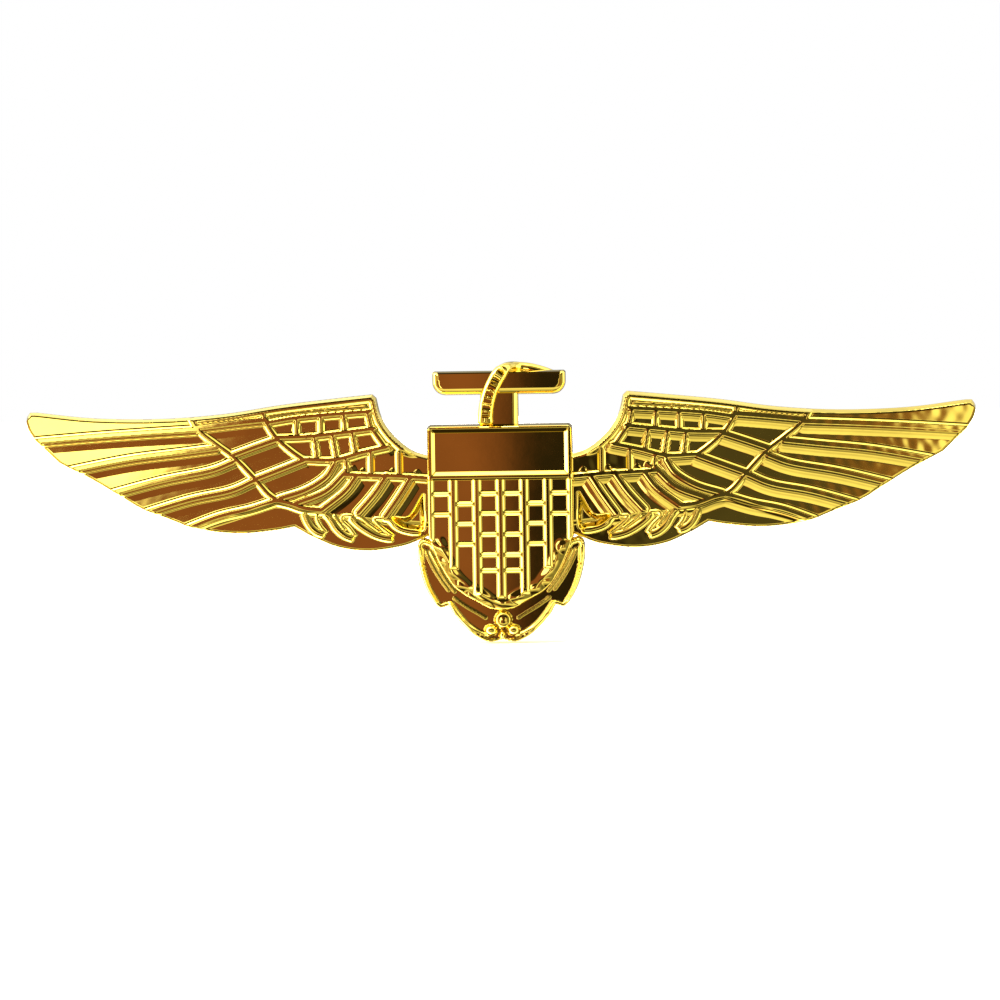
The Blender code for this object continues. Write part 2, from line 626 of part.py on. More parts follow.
def make_clutch_cap(name, at):
    bore = POST_RADIUS + POST_CLEARANCE
    foot = CLUTCH_BASE_THICKNESS + SOLDER_GAP
    top = foot + CAP_HEIGHT
    inner = CAP_RADIUS - CAP_WALL
    profile = [
        (inner, foot), (CAP_RADIUS + CAP_FLANGE, foot), (CAP_RADIUS + CAP_FLANGE, foot + CAP_WALL),
        (CAP_RADIUS, foot + CAP_WALL), (CAP_RADIUS, top - CAP_SHOULDER), (CAP_RADIUS - CAP_SHOULDER, top),
        (bore, top), (bore, top - CAP_WALL), (inner - CAP_INNER_FILLET, top - CAP_WALL),
        (inner, top - CAP_WALL - CAP_INNER_FILLET),
    ]
    cap = bmesh.new()
    add_turned(cap, profile, closed=True)
    cap = finished(name, cap, metal(name, (0.82, 0.6, 0.2), 0.2), at, round_piece=True)
    window = bmesh.new()
    half = LEVER_WIDTH / 2 + LEVER_CLEARANCE
    low = foot + CAP_WALL + WINDOW_EDGE
    high = top - CAP_WALL - WINDOW_EDGE
    reach = CAP_RADIUS + CAP_FLANGE + 1
    start = (bore + inner) / 2
    add_block(window, -reach, -start, -half, half, low, high)
    add_block(window, start, reach, -half, half, low, high)
    cutter = helper(f"{name}_windows", window)
    cutter.location = cap.location
    combine(cap, "DIFFERENCE", cutter)


def lever_line():
    """The bent strip's middle, from jaw to wing tip, as (outward, up) from the pivot."""
    jaw = LEVER_JAW_RADIUS - LEVER_PIVOT_RADIUS
    wing = CAP_RADIUS - LEVER_PIVOT_RADIUS
    return [
        (jaw, -0.45), (-0.6, -0.45), (-0.1, -0.25), (0.2, 0.35), (wing, 0.75), (wing + 0.85, 1.15),
        (wing + 1.4, 1.95), (wing + 1.55, 2.7), (wing + 1.7, 2.95),
    ]


def make_lever(name, at, side):
    line = [Vector(point) for point in lever_line()]
    strip = []
    for i, here in enumerate(line):
        along = (line[min(i + 1, len(line) - 1)] - line[max(i - 1, 0)]).normalized()
        strip.append((here, Vector((-along.y, along.x)) * LEVER_THICKNESS / 2))
    lever = bmesh.new()
    half = LEVER_WIDTH / 2
    rings = []
    for here, normal in strip:
        ring = []
        for sign, width in ((1, half), (-1, half), (-1, -half), (1, -half)):
            spot = here + normal * sign
            ring.append(lever.verts.new((side * spot.x, spot.y, width)))
        rings.append(ring)
    for first, second in zip(rings, rings[1:]):
        for i in range(4):
            j = (i + 1) % 4
            lever.faces.new((first[i], first[j], second[j], second[i]))
    lever.faces.new(rings[0])
    lever.faces.new(list(reversed(rings[-1])))
    x, y, z = at
    pivot = (x + side * LEVER_PIVOT_RADIUS, y + LEVER_PIVOT_HEIGHT, z)
    lever = finished(name, lever, metal(name, (0.86, 0.66, 0.26), 0.22), pivot)
    notch = bmesh.new()
    bore = POST_RADIUS + POST_CLEARANCE
    add_turned(notch, [(0, 0), (bore, 0), (bore, 2 * LEVER_PIVOT_HEIGHT), (0, 2 * LEVER_PIVOT_HEIGHT)])
    cutter = helper(f"{name}_notch", notch)
    cutter.location = Vector(at) * MM
    combine(lever, "DIFFERENCE", cutter)


def make_fastenings():
    for side, (x, z) in STATIONS.items():
        make_post(f"post_{side}", x, z)
        at = (x, CLOTH_GAP, z)
        make_clutch_base(f"clutch_{side}_base", at)
        make_clutch_cap(f"clutch_{side}_cap", at)
        make_lever(f"clutch_{side}_lever_a", at, -1)
        make_lever(f"clutch_{side}_lever_b", at, 1)


for old in list(bpy.data.objects):
    bpy.data.objects.remove(old)
make_wing_plate()
make_shield()
make_anchor()
make_rivets()
make_fastenings()
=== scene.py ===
"""Looks of the pilot wings badge: finely struck gold face, cast rope and three spring clutches.

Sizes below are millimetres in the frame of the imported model: the face looks along -Y and +Z is up.
"""

import math

import bmesh
import bpy
import numpy as np
from mathutils import Matrix, Vector


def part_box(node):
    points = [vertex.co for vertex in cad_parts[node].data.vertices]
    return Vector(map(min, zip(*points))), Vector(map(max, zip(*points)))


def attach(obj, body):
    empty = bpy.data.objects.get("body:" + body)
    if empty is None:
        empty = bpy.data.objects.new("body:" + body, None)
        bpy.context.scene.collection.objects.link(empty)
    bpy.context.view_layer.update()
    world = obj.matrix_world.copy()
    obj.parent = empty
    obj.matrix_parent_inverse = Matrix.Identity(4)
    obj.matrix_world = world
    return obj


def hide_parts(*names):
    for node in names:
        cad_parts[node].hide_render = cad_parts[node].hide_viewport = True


MM = 0.001

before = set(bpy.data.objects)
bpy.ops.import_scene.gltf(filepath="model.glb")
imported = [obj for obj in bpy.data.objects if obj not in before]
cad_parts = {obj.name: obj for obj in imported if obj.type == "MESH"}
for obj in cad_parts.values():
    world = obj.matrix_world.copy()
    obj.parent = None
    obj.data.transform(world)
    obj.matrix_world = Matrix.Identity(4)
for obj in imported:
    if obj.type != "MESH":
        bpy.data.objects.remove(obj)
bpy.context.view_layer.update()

# ---- Sizes ------------------------------------------------------------------------------------------------

# Wings: heights over the flat back, the line where they meet the web, and the grid's steps (across, up).
PLATE_FACE = 0.9
PANEL = 0.84
BELLY_LEVEL = 0.74
HOLLOW_DEPTH = 0.42
CREST = 0.14
WEB_EDGE = 4.7
WING_STEPS = (0.062, 0.04)
# Each wing's side, its chamfer widths (facing down, facing up), and its feathers' ledge and fillet as shares
# of the crest.
WINGS = [("wing_left", -1, (0.05, 0.2), (0.8, 0.16)), ("wing_right", 1, (0.05, 0.26), (0.88, 0.52))]
# Engraved frame in the web's back: half width, half height and depth.
BACK_FRAME = (2.1, 0.65, 0.1)
# Creases sharper than this many degrees stay sharp on the struck pieces.
SHARP = 30
# A border that faces down falls away over this width, with this slope.
LOW_BEVEL = (0.19, 0.36)
MOST_FACES = 190000

SHIELD_HALF = 5.36
SHIELD_TOP = 4.15
SHIELD_CORNER = 0.35
SHIELD_BACK = 0.95
SHIELD_FLOOR = 2.72
CHIEF_BOTTOM = 0.1
CHIEF_OVERLAP = 0.03
FINE_STEP = 0.055
# Channel in the shield's back for the anchor's shank.
CHANNEL_HALF = 1.45
CHANNEL_DEPTH = 2.0
RIB_COUNT = 7
RIB_PITCH = 1.73
RIB_RISE = 0.145
LADDER_RISE = 0.13

STOCK_TOP = 8.05
STOCK_HEIGHT = 1.75
STOCK_HALF = 4.9
STOCK_CORNER = 0.96
SHANK_HALF = 1.4
ANCHOR_BACK = 0.97
LEAF_RISE = 0.15

# ---- Drawing of the badge, as (outward, up) on the right-hand side ----------------------------------------

SHOULDER = [(5.36, 1.85), (6.3, 2.15), (7.2, 2.75), (8.1, 3.65), (8.75, 4.75), (9.1, 6.15)]
LEADING_EDGE = [
    (9.4, 6.42), (12.1, 6.16), (16.2, 5.72), (20.4, 5.12), (25.0, 4.82), (30.0, 4.93), (34.3, 5.42),
]
WING_TIP = [(34.75, 5.42), (35.0, 4.95), (34.85, 4.15), (34.3, 3.3)]
TRAILING_EDGE = [
    (32.6, 1.65), (30.3, 0.45), (28.3, -0.75), (26.6, -1.8), (24.6, -2.6), (22.4, -3.4),
    (19.4, -3.74), (16.8, -3.55), (15.3, -3.3),
]
BELLY = [(14.2, -3.95), (12.1, -4.85), (9.8, -5.15), (7.4, -4.85), (6.1, -4.4), (5.36, -4.1)]

ROW_LINES = [
    [(9.55, 5.12), (12.5, 4.93), (15.0, 4.73), (17.2, 4.4)],
    [(9.3, 3.85), (11.5, 3.6), (14.0, 3.35), (16.5, 3.3)],
    [(8.3, 2.5), (10.2, 2.1), (12.2, 1.6), (14.5, 1.65)],
    [(5.4, 0.15), (7.6, 0.33), (9.6, 0.4), (11.5, 0.5)],
]
CELL_BARS = [
    [(9.75, 5.1), (9.5, 3.95)], [(11.5, 5.0), (11.45, 3.65)], [(13.2, 4.9), (13.2, 3.45)],
    [(15.0, 4.75), (14.95, 3.35)], [(9.4, 3.8), (8.5, 2.5)], [(10.9, 3.65), (10.65, 2.0)],
    [(12.35, 3.5), (12.05, 1.65)], [(13.7, 3.35), (13.5, 1.65)], [(7.45, 2.1), (7.45, 0.35)],
    [(9.55, 2.2), (9.55, 0.4)], [(11.4, 1.8), (11.3, 0.5)],
]
BAND_EDGES = [
    [(17.5, 5.2), (17.2, 4.4), (16.5, 3.3), (15.4, 2.3), (14.5, 1.65)],
    [(22.7, 4.7), (22.2, 3.9), (20.9, 2.85), (19.6, 1.85), (18.1, 0.25), (17.2, -0.8), (16.5, -1.3)],
]
FEATHER_RIDGES = [
    [(17.3, 4.6), (19.5, 4.4), (22.3, 4.1)], [(16.5, 3.15), (18.0, 2.65), (19.7, 2.05)],
    [(14.5, 1.6), (16.2, 0.95), (18.1, 0.25)], [(12.2, 1.3), (12.9, 0.3), (14.4, -0.6), (16.3, -1.2)],
    [(6.6, 0.2), (7.5, -1.2), (8.5, -2.6)], [(8.4, 0.35), (9.3, -0.95), (10.5, -2.3)],
    [(10.6, 0.4), (11.5, -0.75), (13.2, -2.05)], [(11.4, 0.7), (12.9, -0.7), (15.2, -1.6)],
    [(22.4, 3.95), (26.0, 3.78), (30.0, 3.55), (34.9, 3.2)],
    [(20.9, 2.6), (23.5, 2.3), (27.5, 1.85), (32.4, 0.95)],
    [(19.7, 1.55), (21.5, 0.9), (25.0, 0.25), (29.4, -0.85)],
    [(18.2, 0.15), (20.0, -0.6), (23.0, -1.2), (26.8, -2.3)],
    [(16.6, -1.35), (18.5, -1.95), (20.8, -2.45), (23.4, -3.4)],
]
BELLY_HOOKS = [
    [(11.2, -2.55), (10.4, -3.3), (9.4, -3.92), (8.5, -4.2), (7.95, -4.2)],
    [(13.1, -2.3), (12.6, -2.75), (12.2, -3.4), (11.6, -3.95), (10.85, -4.25)],
    [(14.6, -2.15), (14.25, -3.0), (13.75, -3.6), (13.0, -3.92)],
]
BELLY_QUILLS = [
    [(7.95, -4.05), (8.5, -3.65), (9.15, -3.1), (9.3, -2.75), (8.4, -2.8)],
    [(8.9, -3.75), (9.8, -3.1), (10.4, -2.6)],
    [(10.75, -4.05), (11.2, -3.4), (11.75, -2.85), (11.6, -2.5), (10.9, -2.5)],
    [(11.5, -3.6), (12.0, -2.95), (12.4, -2.4)],
    [(12.9, -3.75), (13.35, -3.2), (13.6, -2.6), (13.4, -2.2)],
]
BELLY_TOP = [
    (5.0, -3.0), (8.5, -2.75), (11.0, -2.45), (14.0, -2.1), (16.6, -1.4), (20.0, -2.4), (24.0, -3.6),
]
UNDER_RIM = [(9.9, 5.48), (12.5, 5.32), (15.0, 5.12), (17.0, 4.88)]
BELLY_BORDER = [(13.3, -2.1), (14.6, -1.95), (15.6, -1.6), (16.6, -1.35)]
ROOT_HOLLOW = [(5.72, -1.0), (6.75, -2.62), (7.95, -2.68), (7.3, -3.3), (6.3, -3.5), (5.72, -3.5)]
HOLLOW_RIM = [(8.3, -2.75), (7.6, -3.42), (6.7, -3.72), (5.95, -3.75)]

SHIELD_SIDE = [
    (5.36, -4.1), (4.95, -5.4), (4.1, -7.1), (3.2, -8.15), (2.0, -8.85), (1.0, -9.4), (0.0, -9.65),
]
ARM_LEAF = [
    (5.7, -4.15), (6.14, -4.6), (6.12, -6.0), (5.75, -7.5), (5.2, -8.65), (4.6, -9.32), (3.95, -9.2),
]
ARM_BOTTOM = [(3.6, -9.85), (2.75, -10.8), (1.9, -11.5), (0.95, -11.9), (0.0, -11.72)]
ARM_INSIDE = [(0.0, -9.0), (2.0, -8.0), (3.6, -6.4), (5.0, -4.4)]
LEAF_RIDGES = [
    [(5.8, -4.75), (5.78, -6.2), (5.4, -7.7), (4.75, -8.95)],
    [(5.6, -4.85), (5.1, -6.1), (4.5, -7.15), (3.75, -8.2)],
    [(5.3, -4.95), (4.75, -6.05), (4.1, -7.25), (3.3, -8.3)],
    [(3.85, -8.75), (3.3, -9.6), (2.6, -10.45), (1.6, -11.15), (0.8, -11.3)],
    [(3.65, -8.45), (2.7, -9.15), (1.7, -9.75), (1.0, -10.2)],
]
# The ball's place and radius.
CROWN_BALL = (0.08, -10.2, 0.64)
RIB_ENDS = [-4.15, -6.2, -8.1, -8.4]
LADDER_LEVELS = [[-0.9, -2.4], [-1.65, -3.1, -4.6], [-0.9, -2.35, -3.9, -5.4, -6.55]]

ROPE_ROUTE = [
    (-1.04, -2.45, 4.05), (-0.95, -2.45, 5.3), (-0.72, -2.45, 6.3), (-0.36, -2.45, 7.15), (0.05, -2.3, 7.8),
    (0.5, -1.8, 8.2), (0.95, -0.95, 8.28), (1.5, -0.45, 8.24), (2.3, -0.45, 8.14), (3.3, -0.45, 7.86),
    (4.3, -0.45, 7.45),
]
ROPE_RADIUS = 0.42
ROPE_PITCH = 0.53

# Cross-sections of raised lines, as distance across (positive downhill of the line) and share of the crest.
BAR_SECTION = [(-0.3, 0.0), (-0.14, 0.95), (-0.11, 1.0), (0.11, 1.0), (0.14, 0.95), (0.3, 0.0)]
HOOK_SECTION = [(-0.32, 0.0), (-0.2, 0.6), (-0.08, 0.95), (0.0, 1.0), (0.08, 0.95), (0.2, 0.6), (0.32, 0.0)]
RIDGE_SECTION = [(-0.2, 0.0), (-0.03, 1.0), (0.03, 1.0), (0.2, 0.0)]
QUILL_SECTION = [(-0.17, 0.0), (-0.06, 0.9), (0.0, 1.0), (0.06, 0.9), (0.17, 0.0)]

# Slopes of the shield, as distances and what holds there: half a rib's share of its rise, and the heights of
# the chief's frame from the outline inwards.
RIB_SECTION = ([0.14, 0.16, 0.31, 0.34], [1, 0.95, 0.05, 0])
CHIEF_SIDES = ([0, 0.14, 0.18, 0.34, 0.38, 0.6, 0.63], [0.21, 0.33, 0.36, 0.36, 0.34, 0.15, 0.13])
CHIEF_FOOT = ([-0.02, 0.13, 0.17, 0.3, 0.34, 0.6, 0.63], [0.29, 0.35, 0.36, 0.36, 0.34, 0.15, 0.13])
CHIEF_HEAD = ([0, 0.14, 0.18, 0.26, 0.3, 0.56, 0.6], [0.21, 0.33, 0.36, 0.36, 0.35, 0.245, 0.13])
# Slopes of the anchor: the stock's rim as a share of its height, the shank's rim, and the arms' rolled edge.
STOCK_RIM = ([0, 0.22, 0.34, 0.5], [0.72, 0.94, 0.972, 1.0])
SHANK_RIM = ([0, 0.3, 0.36], [0.72, 0.97, 1.0])
ARM_RIM = ([0, 0.08, 0.14, 0.26, 0.42, 0.9], [2.3, 2.48, 2.52, 2.5, 2.36, 2.3])


def feather_section(ledge, fillet):
    """A feather's shaft: a fine step up, a flat, a small drop to a ledge, and a slope that ends softly."""
    return [
        (-0.47, 0.0), (-0.38, 0.13), (-0.25, 0.95), (-0.22, 1.0), (0.08, 1.0), (0.13, ledge + 0.02),
        (0.27, ledge), (0.3, ledge - 0.04), (0.43, fillet + 0.03), (0.48, fillet), (0.65, fillet * 0.52),
        (0.9, 0.0),
    ]


# Each station has a post and its clutch. Sizes along a clutch run back from its front.
STATIONS = ("left", "centre", "right")
RIVETS = ("rivet_upper", "rivet_lower")
POST_RADIUS = 0.575
CLOTH_GAP = 2.4
CLUTCH_BORE = 0.725
DISH_RADIUS = 5.0
BELL_FOOT = 0.4
BELL_TOP = 3.6
BELL_INNER = 3.0
# A strip's hinge, as (outward, back) from the clutch's front, and its line from there.
SPRING_HINGE = (2.45, 1.6)
SPRING_LINE = [
    (-2.1, -0.45), (-0.6, -0.45), (-0.1, -0.25), (0.2, 0.35), (0.85, 0.75), (1.7, 1.15), (2.25, 1.95),
    (2.4, 2.7), (2.55, 2.95),
]
SPRING_HALF_WIDTH = 1.3
SPRING_HALF_THICK = 0.14
# Corners of a strip's section: how far out in half thicknesses, and how near the edge, whose sign is the side.
SPRING_SECTION = [
    (1, -0.55), (1, 0.55), (0.55, 1), (-0.55, 1), (-1, 0.55), (-1, -0.55), (-0.55, -1), (0.55, -1),
]

# Floor and camera: the view's width is at the badge, and the angles are azimuth, elevation and roll in degrees.
FLOOR_LEVEL = -11.95
FLOOR_SIZE = 1200.0
VIEW_DISTANCE = 250.0
VIEW_WIDTH = 73.5
VIEW_AIM = (-0.05, -1.5, -1.45)
VIEW_ANGLES = (1.2, 3.0, 0.85)


# ---- Arithmetic of curves and fields ----------------------------------------------------------------------


def smooth(points, steps):
    """A Catmull-Rom curve through the points, as an array."""
    knots = np.array(points, float)
    knots = np.vstack([2 * knots[0] - knots[1], knots, 2 * knots[-1] - knots[-2]])
    t = (np.arange(steps) / steps)[:, None]
    runs = []
    for before, start, end, after in zip(knots, knots[1:], knots[2:], knots[3:]):
        bend = 2 * before - 5 * start + 4 * end - after
        twist = 3 * start - before - 3 * end + after
        runs.append(start + t * (end - before) / 2 + t**2 * bend / 2 + t**3 * twist / 2)
    return np.vstack(runs + [knots[-2:-1]])


def nearest_on(x, z, line):
    """Distance to a polyline, positive on its right, with the run to the nearest point and the length."""
    best = np.full(x.shape, 1e9)
    side = np.zeros(x.shape)
    run = np.zeros(x.shape)
    travelled = 0.0
    for (ax, az), (bx, bz) in zip(line, line[1:]):
        dx, dz = bx - ax, bz - az
        length = math.hypot(dx, dz)
        t = np.clip(((x - ax) * dx + (z - az) * dz) / length**2, 0, 1)
        away = np.hypot(x - ax - t * dx, z - az - t * dz)
        closer = away < best
        best = np.where(closer, away, best)
        side = np.where(closer, (x - ax) * dz - (z - az) * dx, side)
        run = np.where(closer, travelled + t * length, run)
        travelled += length
    return np.where(side >= 0, best, -best), run, travelled


def inside_distance(x, z, polygon):
    """Distance to a closed outline, positive inside."""
    best = np.full(x.shape, 1e9)
    within = np.zeros(x.shape, bool)
    closed = np.vstack([polygon, polygon[:1]])
    for (ax, az), (bx, bz) in zip(closed, closed[1:]):
        dx, dz = bx - ax, bz - az
        t = np.clip(((x - ax) * dx + (z - az) * dz) / max(dx * dx + dz * dz, 1e-12), 0, 1)
        best = np.minimum(best, np.hypot(x - ax - t * dx, z - az - t * dz))
        if az != bz:
            within ^= ((az > z) != (bz > z)) & (x < ax + (z - az) * dx / dz)
    return np.where(within, best, -best)


def ease(value, low, high):
    """A smooth step from 0 at low to 1 at high."""
    t = np.clip((value - low) / (high - low), 0, 1)
    return t * t * (3 - 2 * t)


def waves(x, z, length, seed):
    """Smooth unevenness of roughly this wavelength, within about -1..1."""
    rng = np.random.default_rng(seed)
    total = np.zeros(x.shape)
    for _ in range(7):
        turn, phase = rng.uniform(0, math.tau, 2)
        pace = math.tau / (length * rng.uniform(0.7, 1.5))
        total += np.sin((x * math.cos(turn) + z * math.sin(turn)) * pace + phase)
    return total / 4


def raise_line(height, x, z, route, section, crest, taper=0.0, scale=1.0):
    """Raises a line of this cross-section out of the field, in place."""
    line = smooth(route, 6)
    margin = 1.0
    near = (x > line[:, 0].min() - margin) & (x < line[:, 0].max() + margin)
    near &= (z > line[:, 1].min() - margin) & (z < line[:, 1].max() + margin)
    side, run, length = nearest_on(x[near], z[near], line)
    across, share = np.array(section).T
    rise = crest * np.interp(side, across * scale, share, left=0, right=0)
    if taper:
        rise *= ease(run, -0.01, taper) * ease(length - run, -0.01, taper)
    height[near] = np.maximum(height[near], rise)


# ---- Mesh building ----------------------------------------------------------------------------------------


def new_object(name, points, faces, body="badge", smooth_angle=None, most_faces=None, cutters=()):
    """A smooth-shaded piece from points in mm, less its cutters, and thinned if it has too many triangles."""
    data = bpy.data.meshes.new(name)
    data.from_pydata([tuple(point) for point in np.asarray(points)], [], faces)
    data.validate()
    data.update()
    thing = bpy.data.objects.new(name, data)
    bpy.context.scene.collection.objects.link(thing)
    data.calc_loop_triangles()
    tools = []
    for cutter_points, cutter_faces in cutters:
        tool = bpy.data.meshes.new("cutter")
        tool.from_pydata([tuple(point) for point in np.asarray(cutter_points)], [], cutter_faces)
        tools.append(bpy.data.objects.new("cutter", tool))
        bpy.context.scene.collection.objects.link(tools[-1])
        cut = thing.modifiers.new("cut", "BOOLEAN")
        cut.object = tools[-1]
    if most_faces and len(data.loop_triangles) > most_faces:
        thin = thing.modifiers.new("thin", "DECIMATE")
        thin.ratio = most_faces / len(data.loop_triangles)
    if thing.modifiers:
        bpy.context.view_layer.update()
        evaluated = thing.evaluated_get(bpy.context.evaluated_depsgraph_get())
        data = bpy.data.meshes.new_from_object(evaluated)
        data.name = name
        thing.modifiers.clear()
        thing.data = data
    for tool in tools:
        bpy.data.objects.remove(tool)
    data.transform(Matrix.Scale(MM, 4))
    data.shade_smooth()
    if smooth_angle:
        data.set_sharp_from_angle(angle=math.radians(smooth_angle))
    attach(thing, body)
    return thing


def flat(level):
    """A field of one level."""
    return lambda x, z: np.full(x.shape, level)


def within_outline(outline):
    """A field of the distance to this outline, positive inside."""
    return lambda x, z: inside_distance(x, z, outline)


def tube_faces(count, around):
    """Faces of a tube from count rings of this many points, with its ends closed."""
    faces = []
    for i in range(count - 1):
        for k in range(around):
            j = (k + 1) % around
            faces.append([i * around + k, i * around + j, (i + 1) * around + j, (i + 1) * around + k])
    return faces + [list(range(around))[::-1], [(count - 1) * around + k for k in range(around)]]


def grid_lines(low, high, step, marks=()):
    """Evenly spaced grid lines that also pass through every mark."""
    stops = sorted({low, high, *(mark for mark in marks if low < mark < high)})
    runs = [np.linspace(a, b, max(2, round((b - a) / step) + 1))[:-1] for a, b in zip(stops, stops[1:])]
    return np.concatenate(runs + [[high]])


def struck_piece(name, lines, edge, front, back, drafts=(0.1, 0.24), limit=None, flat_back=False):
    """A plate whose face is y = -front(x, z), cut to an outline and chamfered round it.

    Grid points just outside the outline move onto it, and those near the chamfer's top move onto that, so
    both lines are clean. The chamfer is drafts[0] wide where it faces down and drafts[1] where it faces up.
    """
    lines_x, lines_z = lines
    x, z = np.meshgrid(lines_x, lines_z)
    depth = edge(x, z)
    step = (np.diff(lines_x).mean() + np.diff(lines_z).mean()) / 2
    deep = depth > 0.3 * step
    cells = deep[:-1, :-1] | deep[1:, :-1] | deep[:-1, 1:] | deep[1:, 1:]
    used = np.zeros(x.shape, bool)
    for part in (used[:-1, :-1], used[1:, :-1], used[:-1, 1:], used[1:, 1:]):
        part |= cells
    slope_z, slope_x = np.gradient(depth, lines_z, lines_x)
    draft = drafts[0] + (drafts[1] - drafts[0]) * ease(-slope_z, -0.2, 0.5)
    rim = used & ~deep
    brow = used & deep & (abs(depth - draft) < 0.5 * step)
    for moving, target in ((rim, np.zeros(x.shape)), (brow, draft)):
        for _ in range(2):
            size = np.maximum(np.hypot(slope_x[moving], slope_z[moving]), 0.5)
            off = edge(x[moving], z[moving]) - target[moving]
            x[moving] -= off * slope_x[moving] / size**2
            z[moving] -= off * slope_z[moving] / size**2
    index = np.full(x.shape, -1)
    index[used] = np.arange(used.sum())
    px, pz = x[used], z[used]
    within = edge(px, pz)
    within[rim[used]] = 0
    height = front(px, pz)
    # A border that faces down has a shallow bevel as well.
    low_width, low_slope = LOW_BEVEL
    faces_down = 1 - ease(-slope_z[used], -0.5, 0.1)
    height = height - low_slope * faces_down * np.clip(low_width - within, 0, None)
    if limit is not None:
        height = np.minimum(height, limit(px, pz))
    foot = -back(px, pz)
    chamfer = np.interp(within / draft[used], [0, 0.85, 1.0, 1.4], [0.3, 0.93, 0.98, 1.0])
    height = foot + (height - foot) * chamfer
    corners = (index[:-1, :-1], index[:-1, 1:], index[1:, 1:], index[1:, :-1])
    quads = np.stack([corner[cells] for corner in corners], 1)
    pairs = np.concatenate([quads[:, [k, (k + 1) % 4]] for k in range(4)])
    keys = set(map(tuple, pairs.tolist()))
    border = {a: b for a, b in keys if (b, a) not in keys}
    count = len(px)
    points = np.stack([px, -height, pz], 1)
    rear = points.copy()
    rear[:, 1] = -foot
    faces = quads.tolist()
    if flat_back:
        rear = rear[list(border)]
        twin = {vertex: count + i for i, vertex in enumerate(border)}
        loop = [next(iter(border))]
        while (here := border[loop[-1]]) != loop[0]:
            loop.append(here)
        faces.append([twin[vertex] for vertex in reversed(loop)])
    else:
        twin = {vertex: count + vertex for vertex in border}
        faces += [[a + count for a in reversed(quad)] for quad in faces]
    faces += [[b, a, twin[a], twin[b]] for a, b in border.items()]
    new_object(name, np.vstack([points, rear]), faces, smooth_angle=SHARP, most_faces=MOST_FACES)


# ---- Wings ------------------------------------------------------------------------------------------------


def wing_outline():
    """The right wing, closed along the line where it meets the web."""
    runs = [smooth(run, 5) for run in (SHOULDER, LEADING_EDGE, WING_TIP, TRAILING_EDGE, BELLY)]
    return np.vstack(runs + [[(WEB_EDGE, runs[-1][-1][1] - 0.35), (WEB_EDGE, 2.05)]])


def shield_outline():
    """The whole shield, with round upper corners."""
    turns = np.radians(np.linspace(90, 0, 7))
    across = SHIELD_HALF - SHIELD_CORNER + SHIELD_CORNER * np.cos(turns)
    up = SHIELD_TOP - SHIELD_CORNER + SHIELD_CORNER * np.sin(turns)
    right = np.vstack([np.stack([across, up], 1), smooth(SHIELD_SIDE, 6)])
    return np.vstack([right, (right * (-1, 1))[::-1][1:]])


def arms_outline():
    """Both arms of the anchor, closed along the line where they pass under the shield."""
    right = np.vstack([smooth(ARM_LEAF, 6), smooth(ARM_BOTTOM, 6)])
    left = (right * (-1, 1))[::-1]
    inside = smooth(ARM_INSIDE, 4)
    return np.vstack([right, left[1:], (inside * (-1, 1))[::-1], inside[1:]])


WING = wing_outline()
SHIELD = shield_outline()
ARMS = arms_outline()


def wing_height(x, z, depth, fillet):
    """Height of a wing's face over its back, drawn on the right; depth is the way in from the outline."""
    shaft = feather_section(*fillet)
    rise = np.zeros(x.shape)
    for route in ROW_LINES:
        raise_line(rise, x, z, route, shaft, CREST, scale=0.8)
    for route in CELL_BARS:
        raise_line(rise, x, z, route, BAR_SECTION, CREST * 0.94)
    for route in BAND_EDGES:
        raise_line(rise, x, z, route, BAR_SECTION, CREST)
    for route in FEATHER_RIDGES:
        raise_line(rise, x, z, route, shaft, CREST)
    # A fine line under the rim, broken by beads of uneven size towards the shoulder.
    raise_line(rise, x, z, UNDER_RIM, QUILL_SECTION, CREST * 0.6)
    rng = np.random.default_rng(11)
    line = smooth(UNDER_RIM, 16)
    for place in np.arange(0.05, 0.8, 0.15):
        bead_x, bead_z = line[int(place * len(line))] + rng.uniform(-0.08, 0.08, 2)
        size = rng.uniform(0.16, 0.22)
        near = np.hypot(x - bead_x, (z - bead_z) * 1.3) / size
        rise = np.maximum(rise, CREST * rng.uniform(0.5, 0.95) * np.sqrt(np.clip(1 - near**2, 0, 1)))
    # Border along the shoulder and the first part of the leading edge.
    leading = (1 - ease(x, 22.3, 22.9)) * ease(z - (6.9 - 0.095 * x), -1.25, -1.0)
    shoulder = ease(z, 1.6, 2.4) * (1 - ease(x, 9.4, 9.9))
    border = np.interp(depth, [0, 0.42, 0.46, 0.62, 0.66], [1, 1, 0.93, 0.07, 0])
    rise = np.maximum(rise, CREST * 1.05 * border * np.maximum(leading * ease(z, 1.0, 2.2), shoulder))
    level = np.full(x.shape, PANEL)
    # The smooth belly lies lower than the feathers above it.
    side, _, _ = nearest_on(x, z, smooth(BELLY_TOP, 6))
    level -= (PANEL - BELLY_LEVEL) * ease(side, 0.0, 0.5)
    for route in BELLY_HOOKS:
        raise_line(rise, x, z, route, HOOK_SECTION, CREST * 1.1, taper=0.2)
    for route in BELLY_QUILLS:
        raise_line(rise, x, z, route, QUILL_SECTION, CREST * 0.8, taper=0.1)
    raise_line(rise, x, z, BELLY_BORDER, shaft, CREST, scale=0.9)
    raise_line(rise, x, z, HOLLOW_RIM, HOOK_SECTION, CREST * 1.1, taper=0.1)
    hollow = inside_distance(x, z, smooth(ROOT_HOLLOW + ROOT_HOLLOW[:1], 4)[:-1])
    level -= HOLLOW_DEPTH * ease(hollow, -0.12, 0.3)
    rise *= 1 - ease(hollow, -0.12, 0.1)
    # The face is a little uneven, and more so where its fillets are deep.
    ripple = max(0, fillet[1] - 0.1) * 0.003
    return level + rise + 0.0004 * waves(x, z, 2.6, 3) + ripple * waves(x, z, 0.8, 4)


